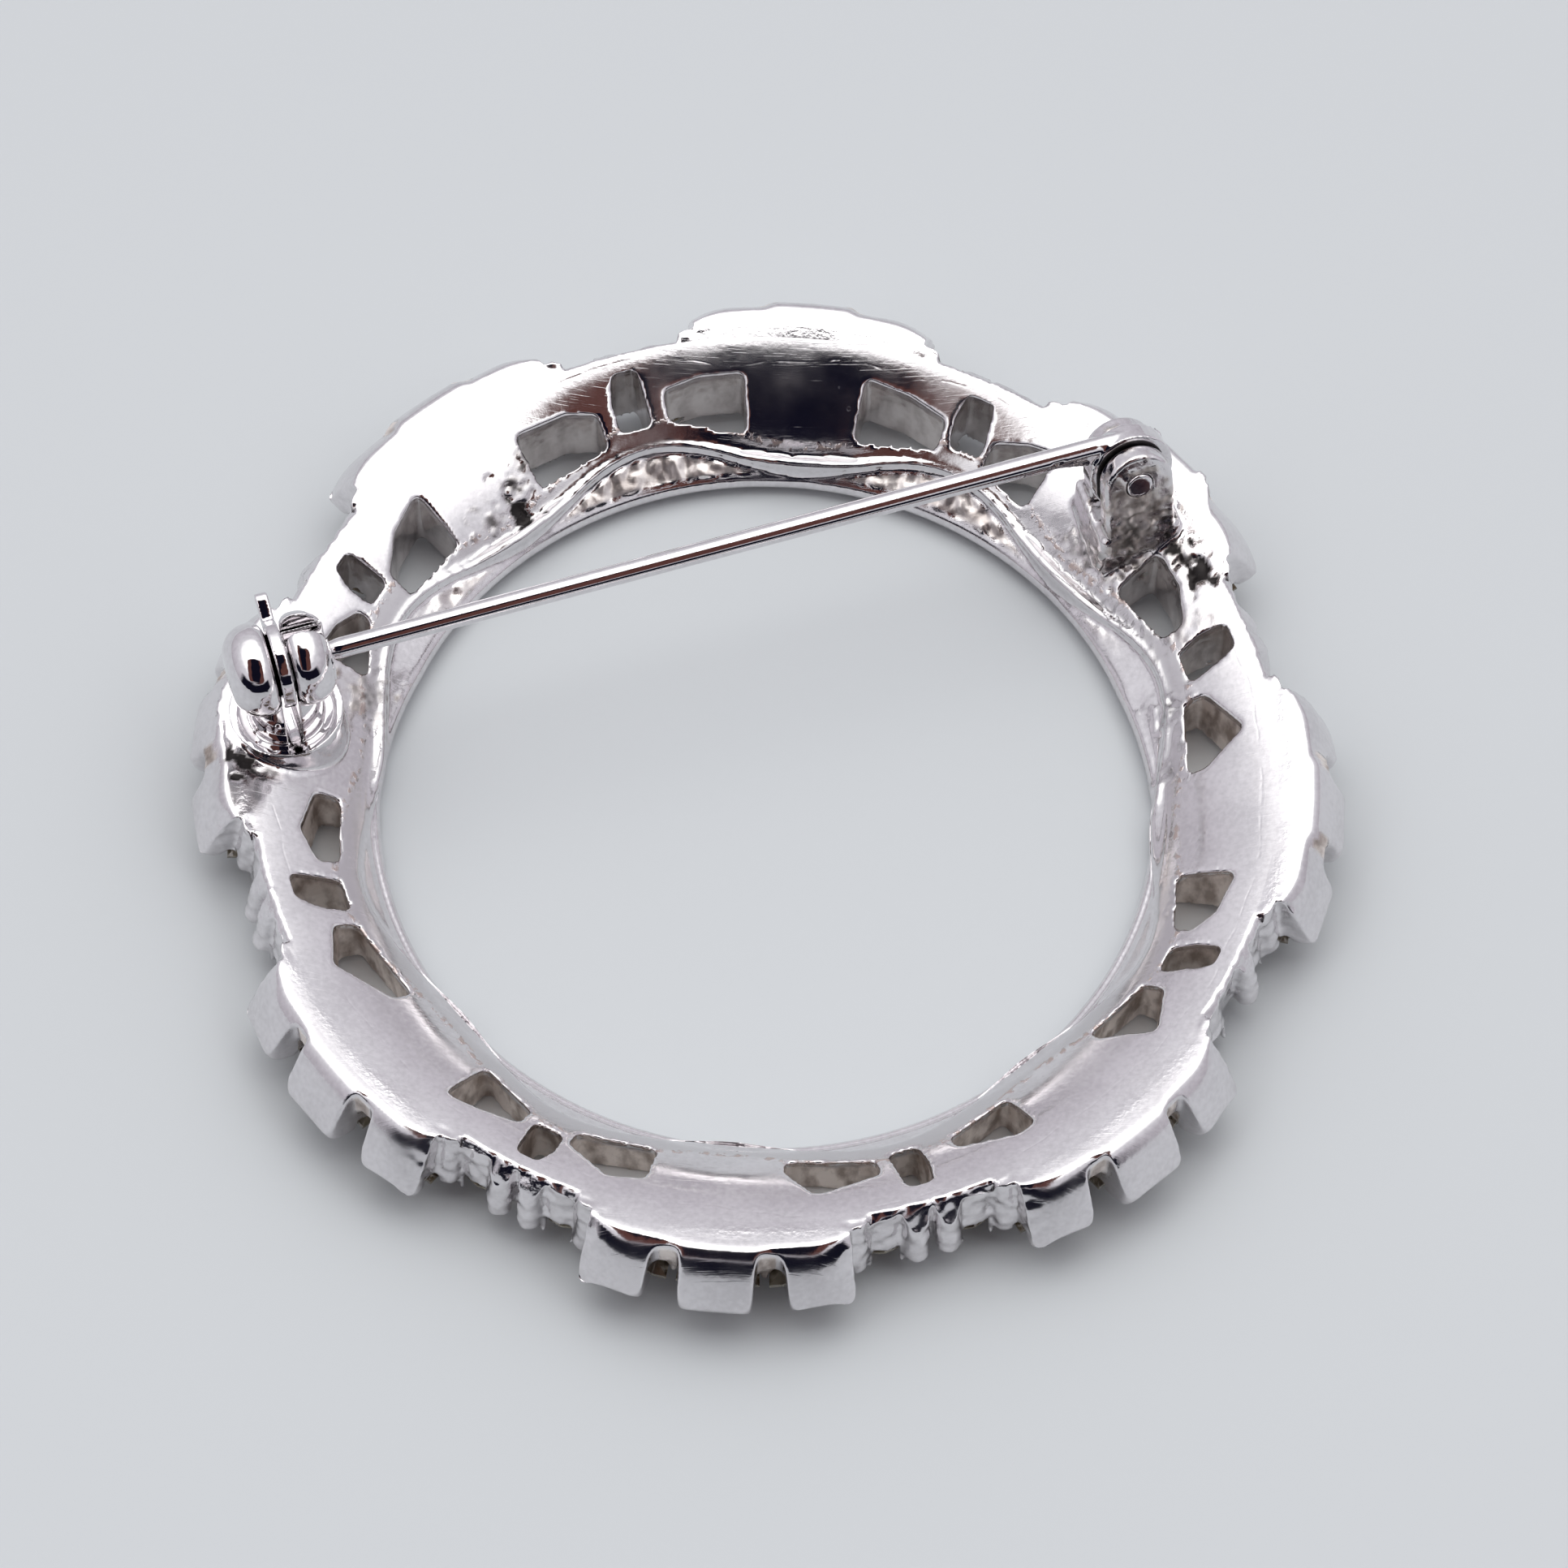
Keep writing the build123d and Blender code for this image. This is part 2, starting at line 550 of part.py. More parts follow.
# The pin: its eye, the thickened stretch beside it and the tapered stem
with BuildPart() as pin_stem:
    tip_x = STEM_SPAN - BARREL_LENGTH / 2 + TIP_IN
    with BuildSketch(hinge_plane):
        Circle(EYE_R)
    extrude(amount=EYE_WIDTH / 2, both=True)
    with BuildSketch(hinge_plane):
        Polygon((0, 0), (0, stem_rise), (GUSSET, stem_rise), (EYE_R * 0.9, EYE_R * 0.43), align=None)
    extrude(amount=STEM_ROOT_R * 0.9, both=True)
    with BuildSketch(Plane(origin=stem_at, x_dir=s_dir, z_dir=hinge_plane.z_dir)):
        Polygon(
            (0, 0), (0, STEM_ROOT_R), (tip_x - TIP_TAPER, STEM_TIP_R),
            (tip_x, TIP_END_R), (tip_x, 0), align=None,
        )
    revolve(axis=Axis(stem_at, s_dir))
    with BuildSketch(hinge_plane):
        Circle(RIVET_R + RIVET_FIT)
    extrude(amount=EYE_WIDTH, both=True, mode=Mode.SUBTRACT)

# The rivet that the pin turns on
with BuildPart() as hinge_rivet:
    with BuildSketch(hinge_plane):
        Circle(RIVET_R)
    extrude(amount=ear_outer + RIVET_PROUD, both=True)
    fillet(hinge_rivet.edges().filter_by(GeomType.CIRCLE), RIVET_PROUD)

# The turning sleeve: its tube, the collar between the beads and the lever
with BuildPart() as catch_sleeve:
    sleeve_from = BORE_END - BARREL_LENGTH / 2 + SLEEVE_FIT
    sleeve_to = BARREL_LENGTH / 2 - SLEEVE_FIT
    collar_width = COLLAR_SLOT - 2 * COLLAR_GAP
    sleeve_bore_from = BARREL_LENGTH / 2 - TIP_IN - COLLAR_SLOT
    with BuildSketch(barrel_plane.offset(sleeve_from)):
        Circle(BORE_R - SLEEVE_FIT)
    extrude(amount=sleeve_to - sleeve_from)
    with BuildSketch(barrel_plane.offset(-collar_width / 2)):
        with BuildLine():
            start = 90 - COLLAR_FROM
            CenterArc((0, 0), COLLAR_R, start, COLLAR_SWEEP)
            Polyline(polar(COLLAR_R, start + COLLAR_SWEEP), (0, 0), polar(COLLAR_R, start))
        make_face()
        lever_end = LEVER_REACH - LEVER_WIDTH / 2
        with Locations(Location((*polar(lever_end / 2, start), 0), (0, 0, start))):
            Rectangle(lever_end, LEVER_WIDTH)
        with Locations(polar(lever_end, start)):
            Circle(LEVER_WIDTH / 2)
    extrude(amount=collar_width)
    with BuildSketch(barrel_plane.offset(sleeve_bore_from)):
        Circle(SLEEVE_BORE_R)
    extrude(amount=BARREL_LENGTH, mode=Mode.SUBTRACT)
    with BuildSketch(barrel_plane.offset(COLLAR_SLOT / 2)):
        with Locations(Location((*polar(reach / 2, exit_angle), 0), (0, 0, exit_angle))):
            Rectangle(reach, EXIT_WIDTH)
    extrude(amount=BARREL_LENGTH, mode=Mode.SUBTRACT)

# The field of small stones in the rail
with BuildPart() as rail_stones:
    add(rail_stones_list)

os.makedirs("parts", exist_ok=True)
ring_frame.part.label = "ring_frame"
export_step(ring_frame.part, "parts/ring_frame.step")
pin_stem.part.label = "pin_stem"
export_step(pin_stem.part, "parts/pin_stem.step")
hinge_rivet.part.label = "hinge_rivet"
export_step(hinge_rivet.part, "parts/hinge_rivet.step")
catch_sleeve.part.label = "catch_sleeve"
export_step(catch_sleeve.part, "parts/catch_sleeve.step")
rail_stones.part.label = "rail_stones"
export_step(rail_stones.part, "parts/rail_stones.step")
for name, stones in (("baguette", baguettes), ("round", rounds)):
    for number, stone in enumerate(stones, start=1):
        stone.label = f"{name}_{number:02d}"
        export_step(stone, f"parts/{name}_{number:02d}.step")
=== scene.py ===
"""Circle pin brooch of bright white gold, lying face down: its looks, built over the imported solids."""

import logging
import math
from dataclasses import dataclass
from enum import Enum

import bmesh
import bpy
import numpy as np
from mathutils import Matrix, Vector, noise

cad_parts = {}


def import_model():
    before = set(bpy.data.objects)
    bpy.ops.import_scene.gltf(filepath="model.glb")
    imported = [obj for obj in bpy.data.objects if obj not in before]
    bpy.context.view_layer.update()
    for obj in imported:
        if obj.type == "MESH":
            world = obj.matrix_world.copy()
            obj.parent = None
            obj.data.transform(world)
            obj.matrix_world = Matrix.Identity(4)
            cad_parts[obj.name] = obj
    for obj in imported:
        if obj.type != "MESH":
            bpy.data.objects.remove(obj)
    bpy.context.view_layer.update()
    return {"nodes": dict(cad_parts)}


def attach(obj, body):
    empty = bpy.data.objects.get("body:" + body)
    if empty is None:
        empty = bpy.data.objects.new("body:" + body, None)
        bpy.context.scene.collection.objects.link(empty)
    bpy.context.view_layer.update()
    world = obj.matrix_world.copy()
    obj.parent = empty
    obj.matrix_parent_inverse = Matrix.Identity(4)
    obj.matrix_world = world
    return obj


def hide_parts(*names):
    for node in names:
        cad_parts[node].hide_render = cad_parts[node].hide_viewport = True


log = logging.getLogger("brooch")

MM = 0.001
# corners of a solid's mesh that lie nearer than this are one
SAME_CORNER = 0.002 * MM

Socket = bpy.types.NodeSocket
Amount = float | np.ndarray


class Body(Enum):
    """The rigid bodies that the pieces ride on."""

    FRAME = "frame"
    PIN = "pin"
    CATCH = "catch"


@dataclass(frozen=True)
class RingPlan:
    """The ring's main sizes, in metres and degrees."""

    ring_r: float = 16.9 * MM
    plate_z: float = 3.2 * MM
    periods: int = 8
    first_waist: float = -70.9
    dome_r: float = 9.6 * MM
    dome_slope: float = 28.8

    @property
    def period(self) -> float:
        """Angle from one lobe to the next."""
        return 360 / self.periods

    @property
    def dome_middle(self) -> tuple:
        """Radius and height of the middle of the dome's round section."""
        slope = math.radians(self.dome_slope)
        return self.ring_r + self.dome_r * math.sin(slope), self.plate_z - self.dome_r * math.cos(slope)

    def back_z(self, radius: Amount) -> Amount:
        """Height of the back plate at one radius or at many.

        Args:
            radius: The radius, or an array of them.

        Returns:
            The height, in the same form.
        """
        middle_r, middle_z = self.dome_middle
        return middle_z + np.sqrt(np.maximum(0.0, self.dome_r ** 2 - (radius - middle_r) ** 2))


PLAN = RingPlan()


class NodeBench:
    """Short ways to add and join shader nodes in one material."""

    def __init__(self, name: str) -> None:
        """Starts an empty node material.

        Args:
            name: Name of the material.
        """
        self.material = bpy.data.materials.new(name)
        self.material.use_nodes = True
        self.tree = self.material.node_tree
        self.shader = self.tree.nodes["Principled BSDF"]
        coords = self.tree.nodes.new("ShaderNodeTexCoord")
        self.object_coords = coords.outputs["Object"]

    def add(self, kind: str, **values) -> bpy.types.Node:
        """Adds a node and sets its properties.

        Args:
            kind: Node type without the ShaderNode prefix.
            values: Properties of the node by name.

        Returns:
            The new node.
        """
        node = self.tree.nodes.new("ShaderNode" + kind)
        for key, value in values.items():
            setattr(node, key, value)
        return node

    def link(self, start: bpy.types.NodeSocket, end: bpy.types.NodeSocket) -> None:
        """Joins two sockets."""
        self.tree.links.new(start, end)

    def noise(
        self, scale: float, detail: float = 3.0, stretch: tuple = (1, 1, 1), turn: float = 0.0,
    ) -> Socket:
        """Adds a noise pattern on object coordinates.

        Args:
            scale: Cells per metre.
            detail: Finer layers of the noise.
            stretch: How much each axis is stretched.
            turn: Turn of the pattern about Z, in radians.

        Returns:
            The pattern's value socket.
        """
        mapping = self.add("Mapping")
        mapping.inputs["Scale"].default_value = stretch
        mapping.inputs["Rotation"].default_value = (0, 0, turn)
        self.link(self.object_coords, mapping.inputs["Vector"])
        node = self.add("TexNoise")
        node.inputs["Scale"].default_value = scale
        node.inputs["Detail"].default_value = detail
        self.link(mapping.outputs["Vector"], node.inputs["Vector"])
        return node.outputs["Fac"]

    def ramp(self, value: Socket, stops: tuple) -> Socket:
        """Maps a value to colours.

        Args:
            value: Socket with the value.
            stops: Pairs of a position and an RGB colour.

        Returns:
            The ramp's colour socket.
        """
        node = self.add("ValToRGB")
        elements = node.color_ramp.elements
        while len(elements) < len(stops):
            elements.new(0.5)
        for element, (position, colour) in zip(elements, stops):
            element.position = position
            element.color = (*colour, 1)
        self.link(value, node.inputs["Fac"])
        return node.outputs["Color"]

    def span(self, value: Socket, low: float, high: float, to_low: float, to_high: float) -> Socket:
        """Maps a value from one range to another, clamped.

        Args:
            value: Socket with the value.
            low: Start of its range.
            high: End of its range.
            to_low: Result at the start.
            to_high: Result at the end.

        Returns:
            The result's socket.
        """
        node = self.add("MapRange")
        for key, number in zip(("From Min", "From Max", "To Min", "To Max"), (low, high, to_low, to_high)):
            node.inputs[key].default_value = number
        self.link(value, node.inputs["Value"])
        return node.outputs["Result"]

    def bump(self, height: Socket, strength: float, distance: float, below: Socket | None = None) -> Socket:
        """Adds a bump, on top of another one where one is given.

        Args:
            height: Socket with the height pattern.
            strength: Share of the bump that shows.
            distance: Its full height in metres.
            below: Normal socket of the bump under it.

        Returns:
            The normal socket.
        """
        node = self.add("Bump")
        node.inputs["Strength"].default_value = strength
        node.inputs["Distance"].default_value = distance
        self.link(height, node.inputs["Height"])
        if below is not None:
            self.link(below, node.inputs["Normal"])
        return node.outputs["Normal"]

    def maths(self, operation: str, *values: Socket | float) -> Socket:
        """Adds a maths node.

        Args:
            operation: Its operation.
            values: Sockets or numbers, one for each input.

        Returns:
            The result's socket.
        """
        node = self.add("Math", operation=operation)
        for socket, value in zip(node.inputs, values):
            if isinstance(value, (int, float)):
                socket.default_value = value
            else:
                self.link(value, socket)
        return node.outputs[0]

    def blend(self, share: Socket, first: Socket, second: Socket | tuple) -> Socket:
        """Mixes two colours.

        Args:
            share: Socket with the share of the second.
            first: Socket of the first colour.
            second: Socket of the second, or an RGB colour.

        Returns:
            The mixed colour's socket.
        """
        node = self.add("Mix", data_type="RGBA")
        start, end = [socket for socket in node.inputs if socket.type == "RGBA"]
        self.link(share, node.inputs["Factor"])
        self.link(first, start)
        if isinstance(second, tuple):
            end.default_value = (*second, 1)
        else:
            self.link(second, end)
        return [socket for socket in node.outputs if socket.type == "RGBA"][0]

    def rise(self) -> Socket:
        """Height above the floor."""
        split = self.add("SeparateXYZ")
        self.link(self.object_coords, split.inputs[0])
        return split.outputs["Z"]

    def attribute(self, name: str) -> Socket:
        """Reads a value that the mesh carries."""
        return self.add("Attribute", attribute_name=name).outputs["Fac"]

    def level_reach(self, place: tuple) -> Socket:
        """Level distance from a place.

        Args:
            place: X and Y of the place, in metres.

        Returns:
            The distance's socket.
        """
        mapping = self.add("Mapping")
        mapping.inputs["Location"].default_value = (-place[0], -place[1], 0)
        mapping.inputs["Scale"].default_value = (1, 1, 0)
        self.link(self.object_coords, mapping.inputs["Vector"])
        length = self.add("VectorMath", operation="LENGTH")
        self.link(mapping.outputs["Vector"], length.inputs[0])
        return length.outputs["Value"]


class WorldBench(NodeBench):
    """Short ways to add nodes to the surroundings."""

    # how square an oval is, and where its edge ends as a share of it
    squareness = 4.0
    edge_end = 1.1

    def __init__(self, world: bpy.types.World) -> None:
        """Works on a world's nodes.

        Args:
            world: The surroundings.
        """
        self.tree = world.node_tree
        self.direction = self.tree.nodes.new("ShaderNodeTexCoord").outputs["Generated"]

    def oval(self, off: float, half: tuple, soft: float) -> Socket:
        """Marks an oval part of the room, over the camera's side.

        Args:
            off: Angle of its middle off straight up, in degrees.
            half: Half its size across and up, as sines.
            soft: Share of it where its edge begins.

        Returns:
            A socket that is one inside the oval.
        """
        mapping = self.add("Mapping", vector_type="TEXTURE")
        mapping.inputs["Rotation"].default_value = (math.radians(off), 0, 0)
        mapping.inputs["Scale"].default_value = (*half, 1)
        self.link(self.direction, mapping.inputs["Vector"])
        split = self.add("SeparateXYZ")
        self.link(mapping.outputs["Vector"], split.inputs[0])
        across, upward = (
            self.maths("POWER", self.maths("ABSOLUTE", split.outputs[axis]), self.squareness) for axis in "XY"
        )
        inside = self.span(self.maths("ADD", across, upward), soft, self.edge_end, 1.0, 0.0)
        return self.maths("MULTIPLY", inside, self.maths("GREATER_THAN", split.outputs["Z"], 0.0))


def ease(value: np.ndarray, low: Amount, high: Amount) -> np.ndarray:
    """Rises smoothly from 0 to 1 between two limits.

    Args:
        value: The values.
        low: Where it leaves 0.
        high: Where it reaches 1.

    Returns:
        The eased values.
    """
    share = np.clip((value - low) / (high - low), 0, 1)
    return share * share * (3 - 2 * share)


@dataclass(frozen=True)
class MetalFinish:
    """Bright white gold with the marks of hand polishing."""

    name: str
    colour: tuple = (0.83, 0.805, 0.82)
    shade: tuple = (0.72, 0.695, 0.71)
    raw_light: tuple = (0.98, 0.91, 0.86)
    raw_dark: tuple = (0.46, 0.39, 0.35)
    # colour of dark stains and of the painted shade in hollows and crevices
    soot_and_shade_colour: tuple = (0.040, 0.036, 0.036)
    flake_colour: tuple = (0.60, 0.50, 0.47)
    lip_colour: tuple = (0.66, 0.64, 0.65)
    roughness: float = 0.09
    rough_spots: float = 0.22
    scratch: float = 0.10
    wave: float = 0.22
    cast: bool = False
    # cells per metre of the patterns: tone, grain, gloss, dents and hand scratches
    cloud_scale: float = 420
    grain_scale: float = 5200
    gloss_scale: float = 380
    dent_scale: float = 300
    line_scale: float = 700
    line_stretch: tuple = (1, 26, 1)
    # turn of each set of scratches, and its share
    line_sets: tuple = ((0.5, 1.0), (1.9, 0.7), (2.8, 0.6))
    dent_depth: float = 0.06 * MM
    grain_depth: float = 0.02 * MM
    line_depth: float = 0.01 * MM
    # polishing pits
    pit_scale: float = 2200
    pit_patch_scale: float = 500
    pit_depth: float = 0.03 * MM
    # the scored seam of the plate
    seam_r: float = 17.65 * MM
    seam_wander: float = 0.4 * MM
    seam_wander_scale: float = 160
    seam_patch_scale: float = 900
    groove_half: float = 0.06 * MM
    # the speckled line at the polished rim
    rim_r: float = 18.7 * MM
    rim_half: float = 0.4 * MM
    rim_patch_scale: float = 260
    speckle_scale: float = 6500
    # the turned lines of the catch's dish
    dish_at: tuple = (-17.301 * MM, 1.197 * MM)
    dish_r: float = 1.75 * MM
    dish_z: float = 4.12 * MM
    dish_lines: float = 42000.0
    # raw casting skin and the flakes on the seam
    skin_scale: float = 1500
    skin_stretch: tuple = (1, 1, 0.45)
    skin_depth: float = 0.08 * MM
    flake_scale: float = 3200
    flake_depth: float = 0.03 * MM
    lip_share: float = 0.8

    def make(self) -> bpy.types.Material:
        """Builds the node material."""
        bench = NodeBench(self.name)
        shader = bench.shader
        shader.inputs["Metallic"].default_value = 1.0
        cloud = bench.maths("MULTIPLY", bench.noise(self.cloud_scale, 4), 0.5)
        cloud = bench.maths("MULTIPLY_ADD", bench.noise(self.grain_scale, 2), 0.5, cloud)
        colour = bench.ramp(cloud, ((0.38, self.shade), (0.60, self.colour)))
        rough = bench.span(bench.noise(self.gloss_scale, 6), 0.40, 0.68, self.roughness, self.rough_spots)
        normal = bench.bump(bench.noise(self.dent_scale, 2), self.wave, self.dent_depth)
        normal = bench.bump(bench.noise(self.grain_scale, 2), self.scratch, self.grain_depth, normal)
        for turn, share in self.line_sets:
            lines = bench.noise(self.line_scale, 1, stretch=self.line_stretch, turn=turn)
            lines = bench.span(lines, 0.66, 0.72, 0, 1)
            normal = bench.bump(lines, self.scratch * share, self.line_depth, normal)
        if self.cast:
            normal = self.pits(bench, normal)
            normal = self.rim(bench, normal)
            normal = self.dish(bench, normal)
            colour, rough, normal = self.wear(bench, colour, rough, normal)
        bench.link(colour, shader.inputs["Base Color"])
        bench.link(rough, shader.inputs["Roughness"])
        bench.link(normal, shader.inputs["Normal"])
        return bench.material

    def pits(self, bench: NodeBench, normal: Socket) -> Socket:
        """Adds small polishing pits and the scored seam of the plate.

        Args:
            bench: The material's bench.
            normal: Normal socket so far.

        Returns:
            The new normal socket.
        """
        cells = bench.add("TexVoronoi")
        cells.inputs["Scale"].default_value = self.pit_scale
        bench.link(bench.object_coords, cells.inputs["Vector"])
        few = bench.span(bench.noise(self.pit_patch_scale, 2), 0.56, 0.66, 0.0, 0.22)
        hole = bench.maths("LESS_THAN", cells.outputs["Distance"], few)
        normal = bench.bump(hole, 0.5, -self.pit_depth, normal)
        wander = bench.noise(self.seam_wander_scale, 3)
        wander = bench.span(wander, 0.3, 0.7, -self.seam_wander, self.seam_wander)
        reach = bench.maths("SUBTRACT", bench.level_reach((0, 0)), wander)
        off_seam = bench.maths("ABSOLUTE", bench.maths("SUBTRACT", reach, self.seam_r))
        groove = bench.span(off_seam, 0.0, self.groove_half, 1.0, 0.0)
        patchy = bench.span(bench.noise(self.seam_patch_scale, 3), 0.46, 0.58, 0.0, 1.0)
        return bench.bump(bench.maths("MULTIPLY", groove, patchy), 0.18, -self.grain_depth, normal)

    def rim(self, bench: NodeBench, normal: Socket) -> Socket:
        """Adds the speckled line where the satin back meets its polished rim.

        Args:
            bench: The material's bench.
            normal: Normal socket so far.

        Returns:
            The new normal socket.
        """
        off = bench.maths("ABSOLUTE", bench.maths("SUBTRACT", bench.level_reach((0, 0)), self.rim_r))
        patchy = bench.span(bench.noise(self.rim_patch_scale, 3), 0.42, 0.62, 0.0, 1.0)
        near = bench.maths("MULTIPLY", bench.span(off, 0.0, self.rim_half, 1.0, 0.0), patchy)
        speckles = bench.maths("MULTIPLY", bench.noise(self.speckle_scale, 3), near)
        return bench.bump(speckles, 0.6, self.dent_depth, normal)

    def dish(self, bench: NodeBench, normal: Socket) -> Socket:
        """Adds the fine turned lines of the catch's dish.

        Args:
            bench: The material's bench.
            normal: Normal socket so far.

        Returns:
            The new normal socket.
        """
        reach = bench.level_reach(self.dish_at)
        rings = bench.maths("SINE", bench.maths("MULTIPLY", reach, self.dish_lines))
        near = bench.span(reach, self.dish_r * 0.96, self.dish_r, 1.0, 0.0)
        low = bench.maths("LESS_THAN", bench.rise(), self.dish_z)
        turned = bench.maths("MULTIPLY", bench.maths("MULTIPLY", rings, near), low)
        return bench.bump(turned, 0.12, self.line_depth, normal)

    def wear(self, bench: NodeBench, colour: Socket, rough: Socket, normal: Socket) -> tuple:
        """Mixes in raw skin, flakes, the plain lip, and the dark of stains and painted shade where the mesh
        marks them.

        Args:
            bench: The material's bench.
            colour: Colour socket so far.
            rough: Roughness socket so far.
            normal: Normal socket so far.

        Returns:
            The three new sockets.
        """
        raw, soot_and_shade = bench.attribute("raw"), bench.attribute("soot_and_shade")
        streaks = bench.noise(self.skin_scale, 5, stretch=self.skin_stretch)
        skin = bench.ramp(streaks, ((0.38, self.raw_dark), (0.58, self.raw_light)))
        colour = bench.blend(raw, colour, skin)
        flakes = bench.span(bench.noise(self.flake_scale, 3), 0.50, 0.58, 0.0, 1.0)
        flakes = bench.maths("MULTIPLY", flakes, bench.attribute("seam"))
        lip = bench.maths("MULTIPLY", bench.attribute("lip"), self.lip_share)
        colour = bench.blend(lip, colour, self.lip_colour)
        colour = bench.blend(flakes, colour, self.flake_colour)
        # painted shade of hollows and the hinge's crevice, with the dark stains of the marks
        colour = bench.blend(soot_and_shade, colour, self.soot_and_shade_colour)
        dull = bench.maths("MAXIMUM", bench.maths("MULTIPLY", raw, 0.5), bench.maths("MULTIPLY", soot_and_shade, 0.5))
        dull = bench.maths("MAXIMUM", dull, bench.maths("MULTIPLY", flakes, 0.4))
        rough = bench.maths("MAXIMUM", rough, dull)
        normal = bench.bump(flakes, 0.5, self.flake_depth, normal)
        return colour, rough, bench.bump(bench.maths("MULTIPLY", streaks, raw), 0.8, self.skin_depth, normal)


@dataclass(frozen=True)
class StoneFinish:
    """Clear stone, dusty and tinted golden brown, darker in random patches."""

    name: str
    colour: tuple = (0.72, 0.66, 0.50)
    shade: tuple = (0.22, 0.15, 0.07)
    clear: float = 0.6
    ior: float = 2.0
    tint_scale: float = 900
    dust_scale: float = 1500

    def make(self) -> bpy.types.Material:
        """Builds the node material."""
        bench = NodeBench(self.name)
        shader = bench.shader
        tint = bench.ramp(bench.noise(self.tint_scale, 3), ((0.38, self.shade), (0.62, self.colour)))
        bench.link(tint, shader.inputs["Base Color"])
        shader.inputs["Transmission Weight"].default_value = self.clear
        shader.inputs["IOR"].default_value = self.ior
        dust = bench.span(bench.noise(self.dust_scale, 2), 0.4, 0.7, 0.02, 0.12)
        bench.link(dust, shader.inputs["Roughness"])
        return bench.material


class Piece:
    """One visible piece, in metres in the shared frame."""

    def __init__(self, name: str, mesh: bpy.types.Mesh) -> None:
        """Links a mesh to the scene as an object at the origin.

        Args:
            name: Name of the piece.
            mesh: Its mesh, with its place in it.
        """
        mesh.name = name
        self.object = bpy.data.objects.new(name, mesh)
        bpy.context.scene.collection.objects.link(self.object)

    def dress(self, material: bpy.types.Material, slot: str, body: Body) -> "Piece":
        """Gives the piece its material and the body that it rides on.

        Args:
            material: The finish.
            slot: Not used.
            body: Body that it moves with.

        Returns:
            The piece itself.
        """
        self.object.data.materials.clear()
        self.object.data.materials.append(material)
        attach(self.object, body.value)
        return self

    def apply(self, kind: str, **values) -> "Piece":
        """Adds a modifier and applies it.

        Args:
            kind: Modifier type.
            values: Its settings by name.

        Returns:
            The piece itself.
        """
        modifier = self.object.modifiers.new(kind, kind)
        for key, value in values.items():
            setattr(modifier, key, value)
        depsgraph = bpy.context.evaluated_depsgraph_get()
        mesh = bpy.data.meshes.new_from_object(self.object.evaluated_get(depsgraph))
        self.object.modifiers.remove(modifier)
        old = self.object.data
        self.object.data = mesh
        bpy.data.meshes.remove(old)
        return self


def merged_copy(node: bpy.types.Object) -> bpy.types.Mesh:
    """Copies a solid's mesh with its loose triangles joined.

    Args:
        node: The solid's object.

    Returns:
        A new mesh.
    """
    mesh = node.data.copy()
    work = bmesh.new()
    work.from_mesh(mesh)
    bmesh.ops.remove_doubles(work, verts=work.verts, dist=SAME_CORNER)
    work.to_mesh(mesh)
    work.free()
    return mesh


def join_into(work: bmesh.types.BMesh, mesh: bpy.types.Mesh) -> None:
    """Adds new shapes to a mesh.

    Args:
        work: The new shapes, which are used up.
        mesh: The mesh that takes them.
    """
    bmesh.ops.recalc_face_normals(work, faces=work.faces)
    work.from_mesh(mesh)
    work.to_mesh(mesh)
    work.free()


def vertex_rows(mesh: bpy.types.Mesh, name: str) -> np.ndarray:
    """Reads the places or normals of a mesh's vertices.

    Args:
        mesh: The mesh.
        name: What is read: co or normal.

    Returns:
        One row for each vertex.
    """
    values = np.empty(len(mesh.vertices) * 3)
    mesh.vertices.foreach_get(name, values)
    return values.reshape(-1, 3)


def shade_smooth(mesh: bpy.types.Mesh) -> None:
    """Shades every face smooth."""
    mesh.polygons.foreach_set("use_smooth", [True] * len(mesh.polygons))
    mesh.update()


@dataclass(frozen=True)
class Mark:
    """A worn, pitted or soldered spot of the casting: its place and sizes in millimetres, and its shares.

    Its darkening stands for stains and for painted shade in pits; above one it makes a solid dark spot.
    """

    x: float
    y: float
    z: float
    reach: float
    sink: float
    rough: float
    soot_and_shade: float
    raw: float = 0.0


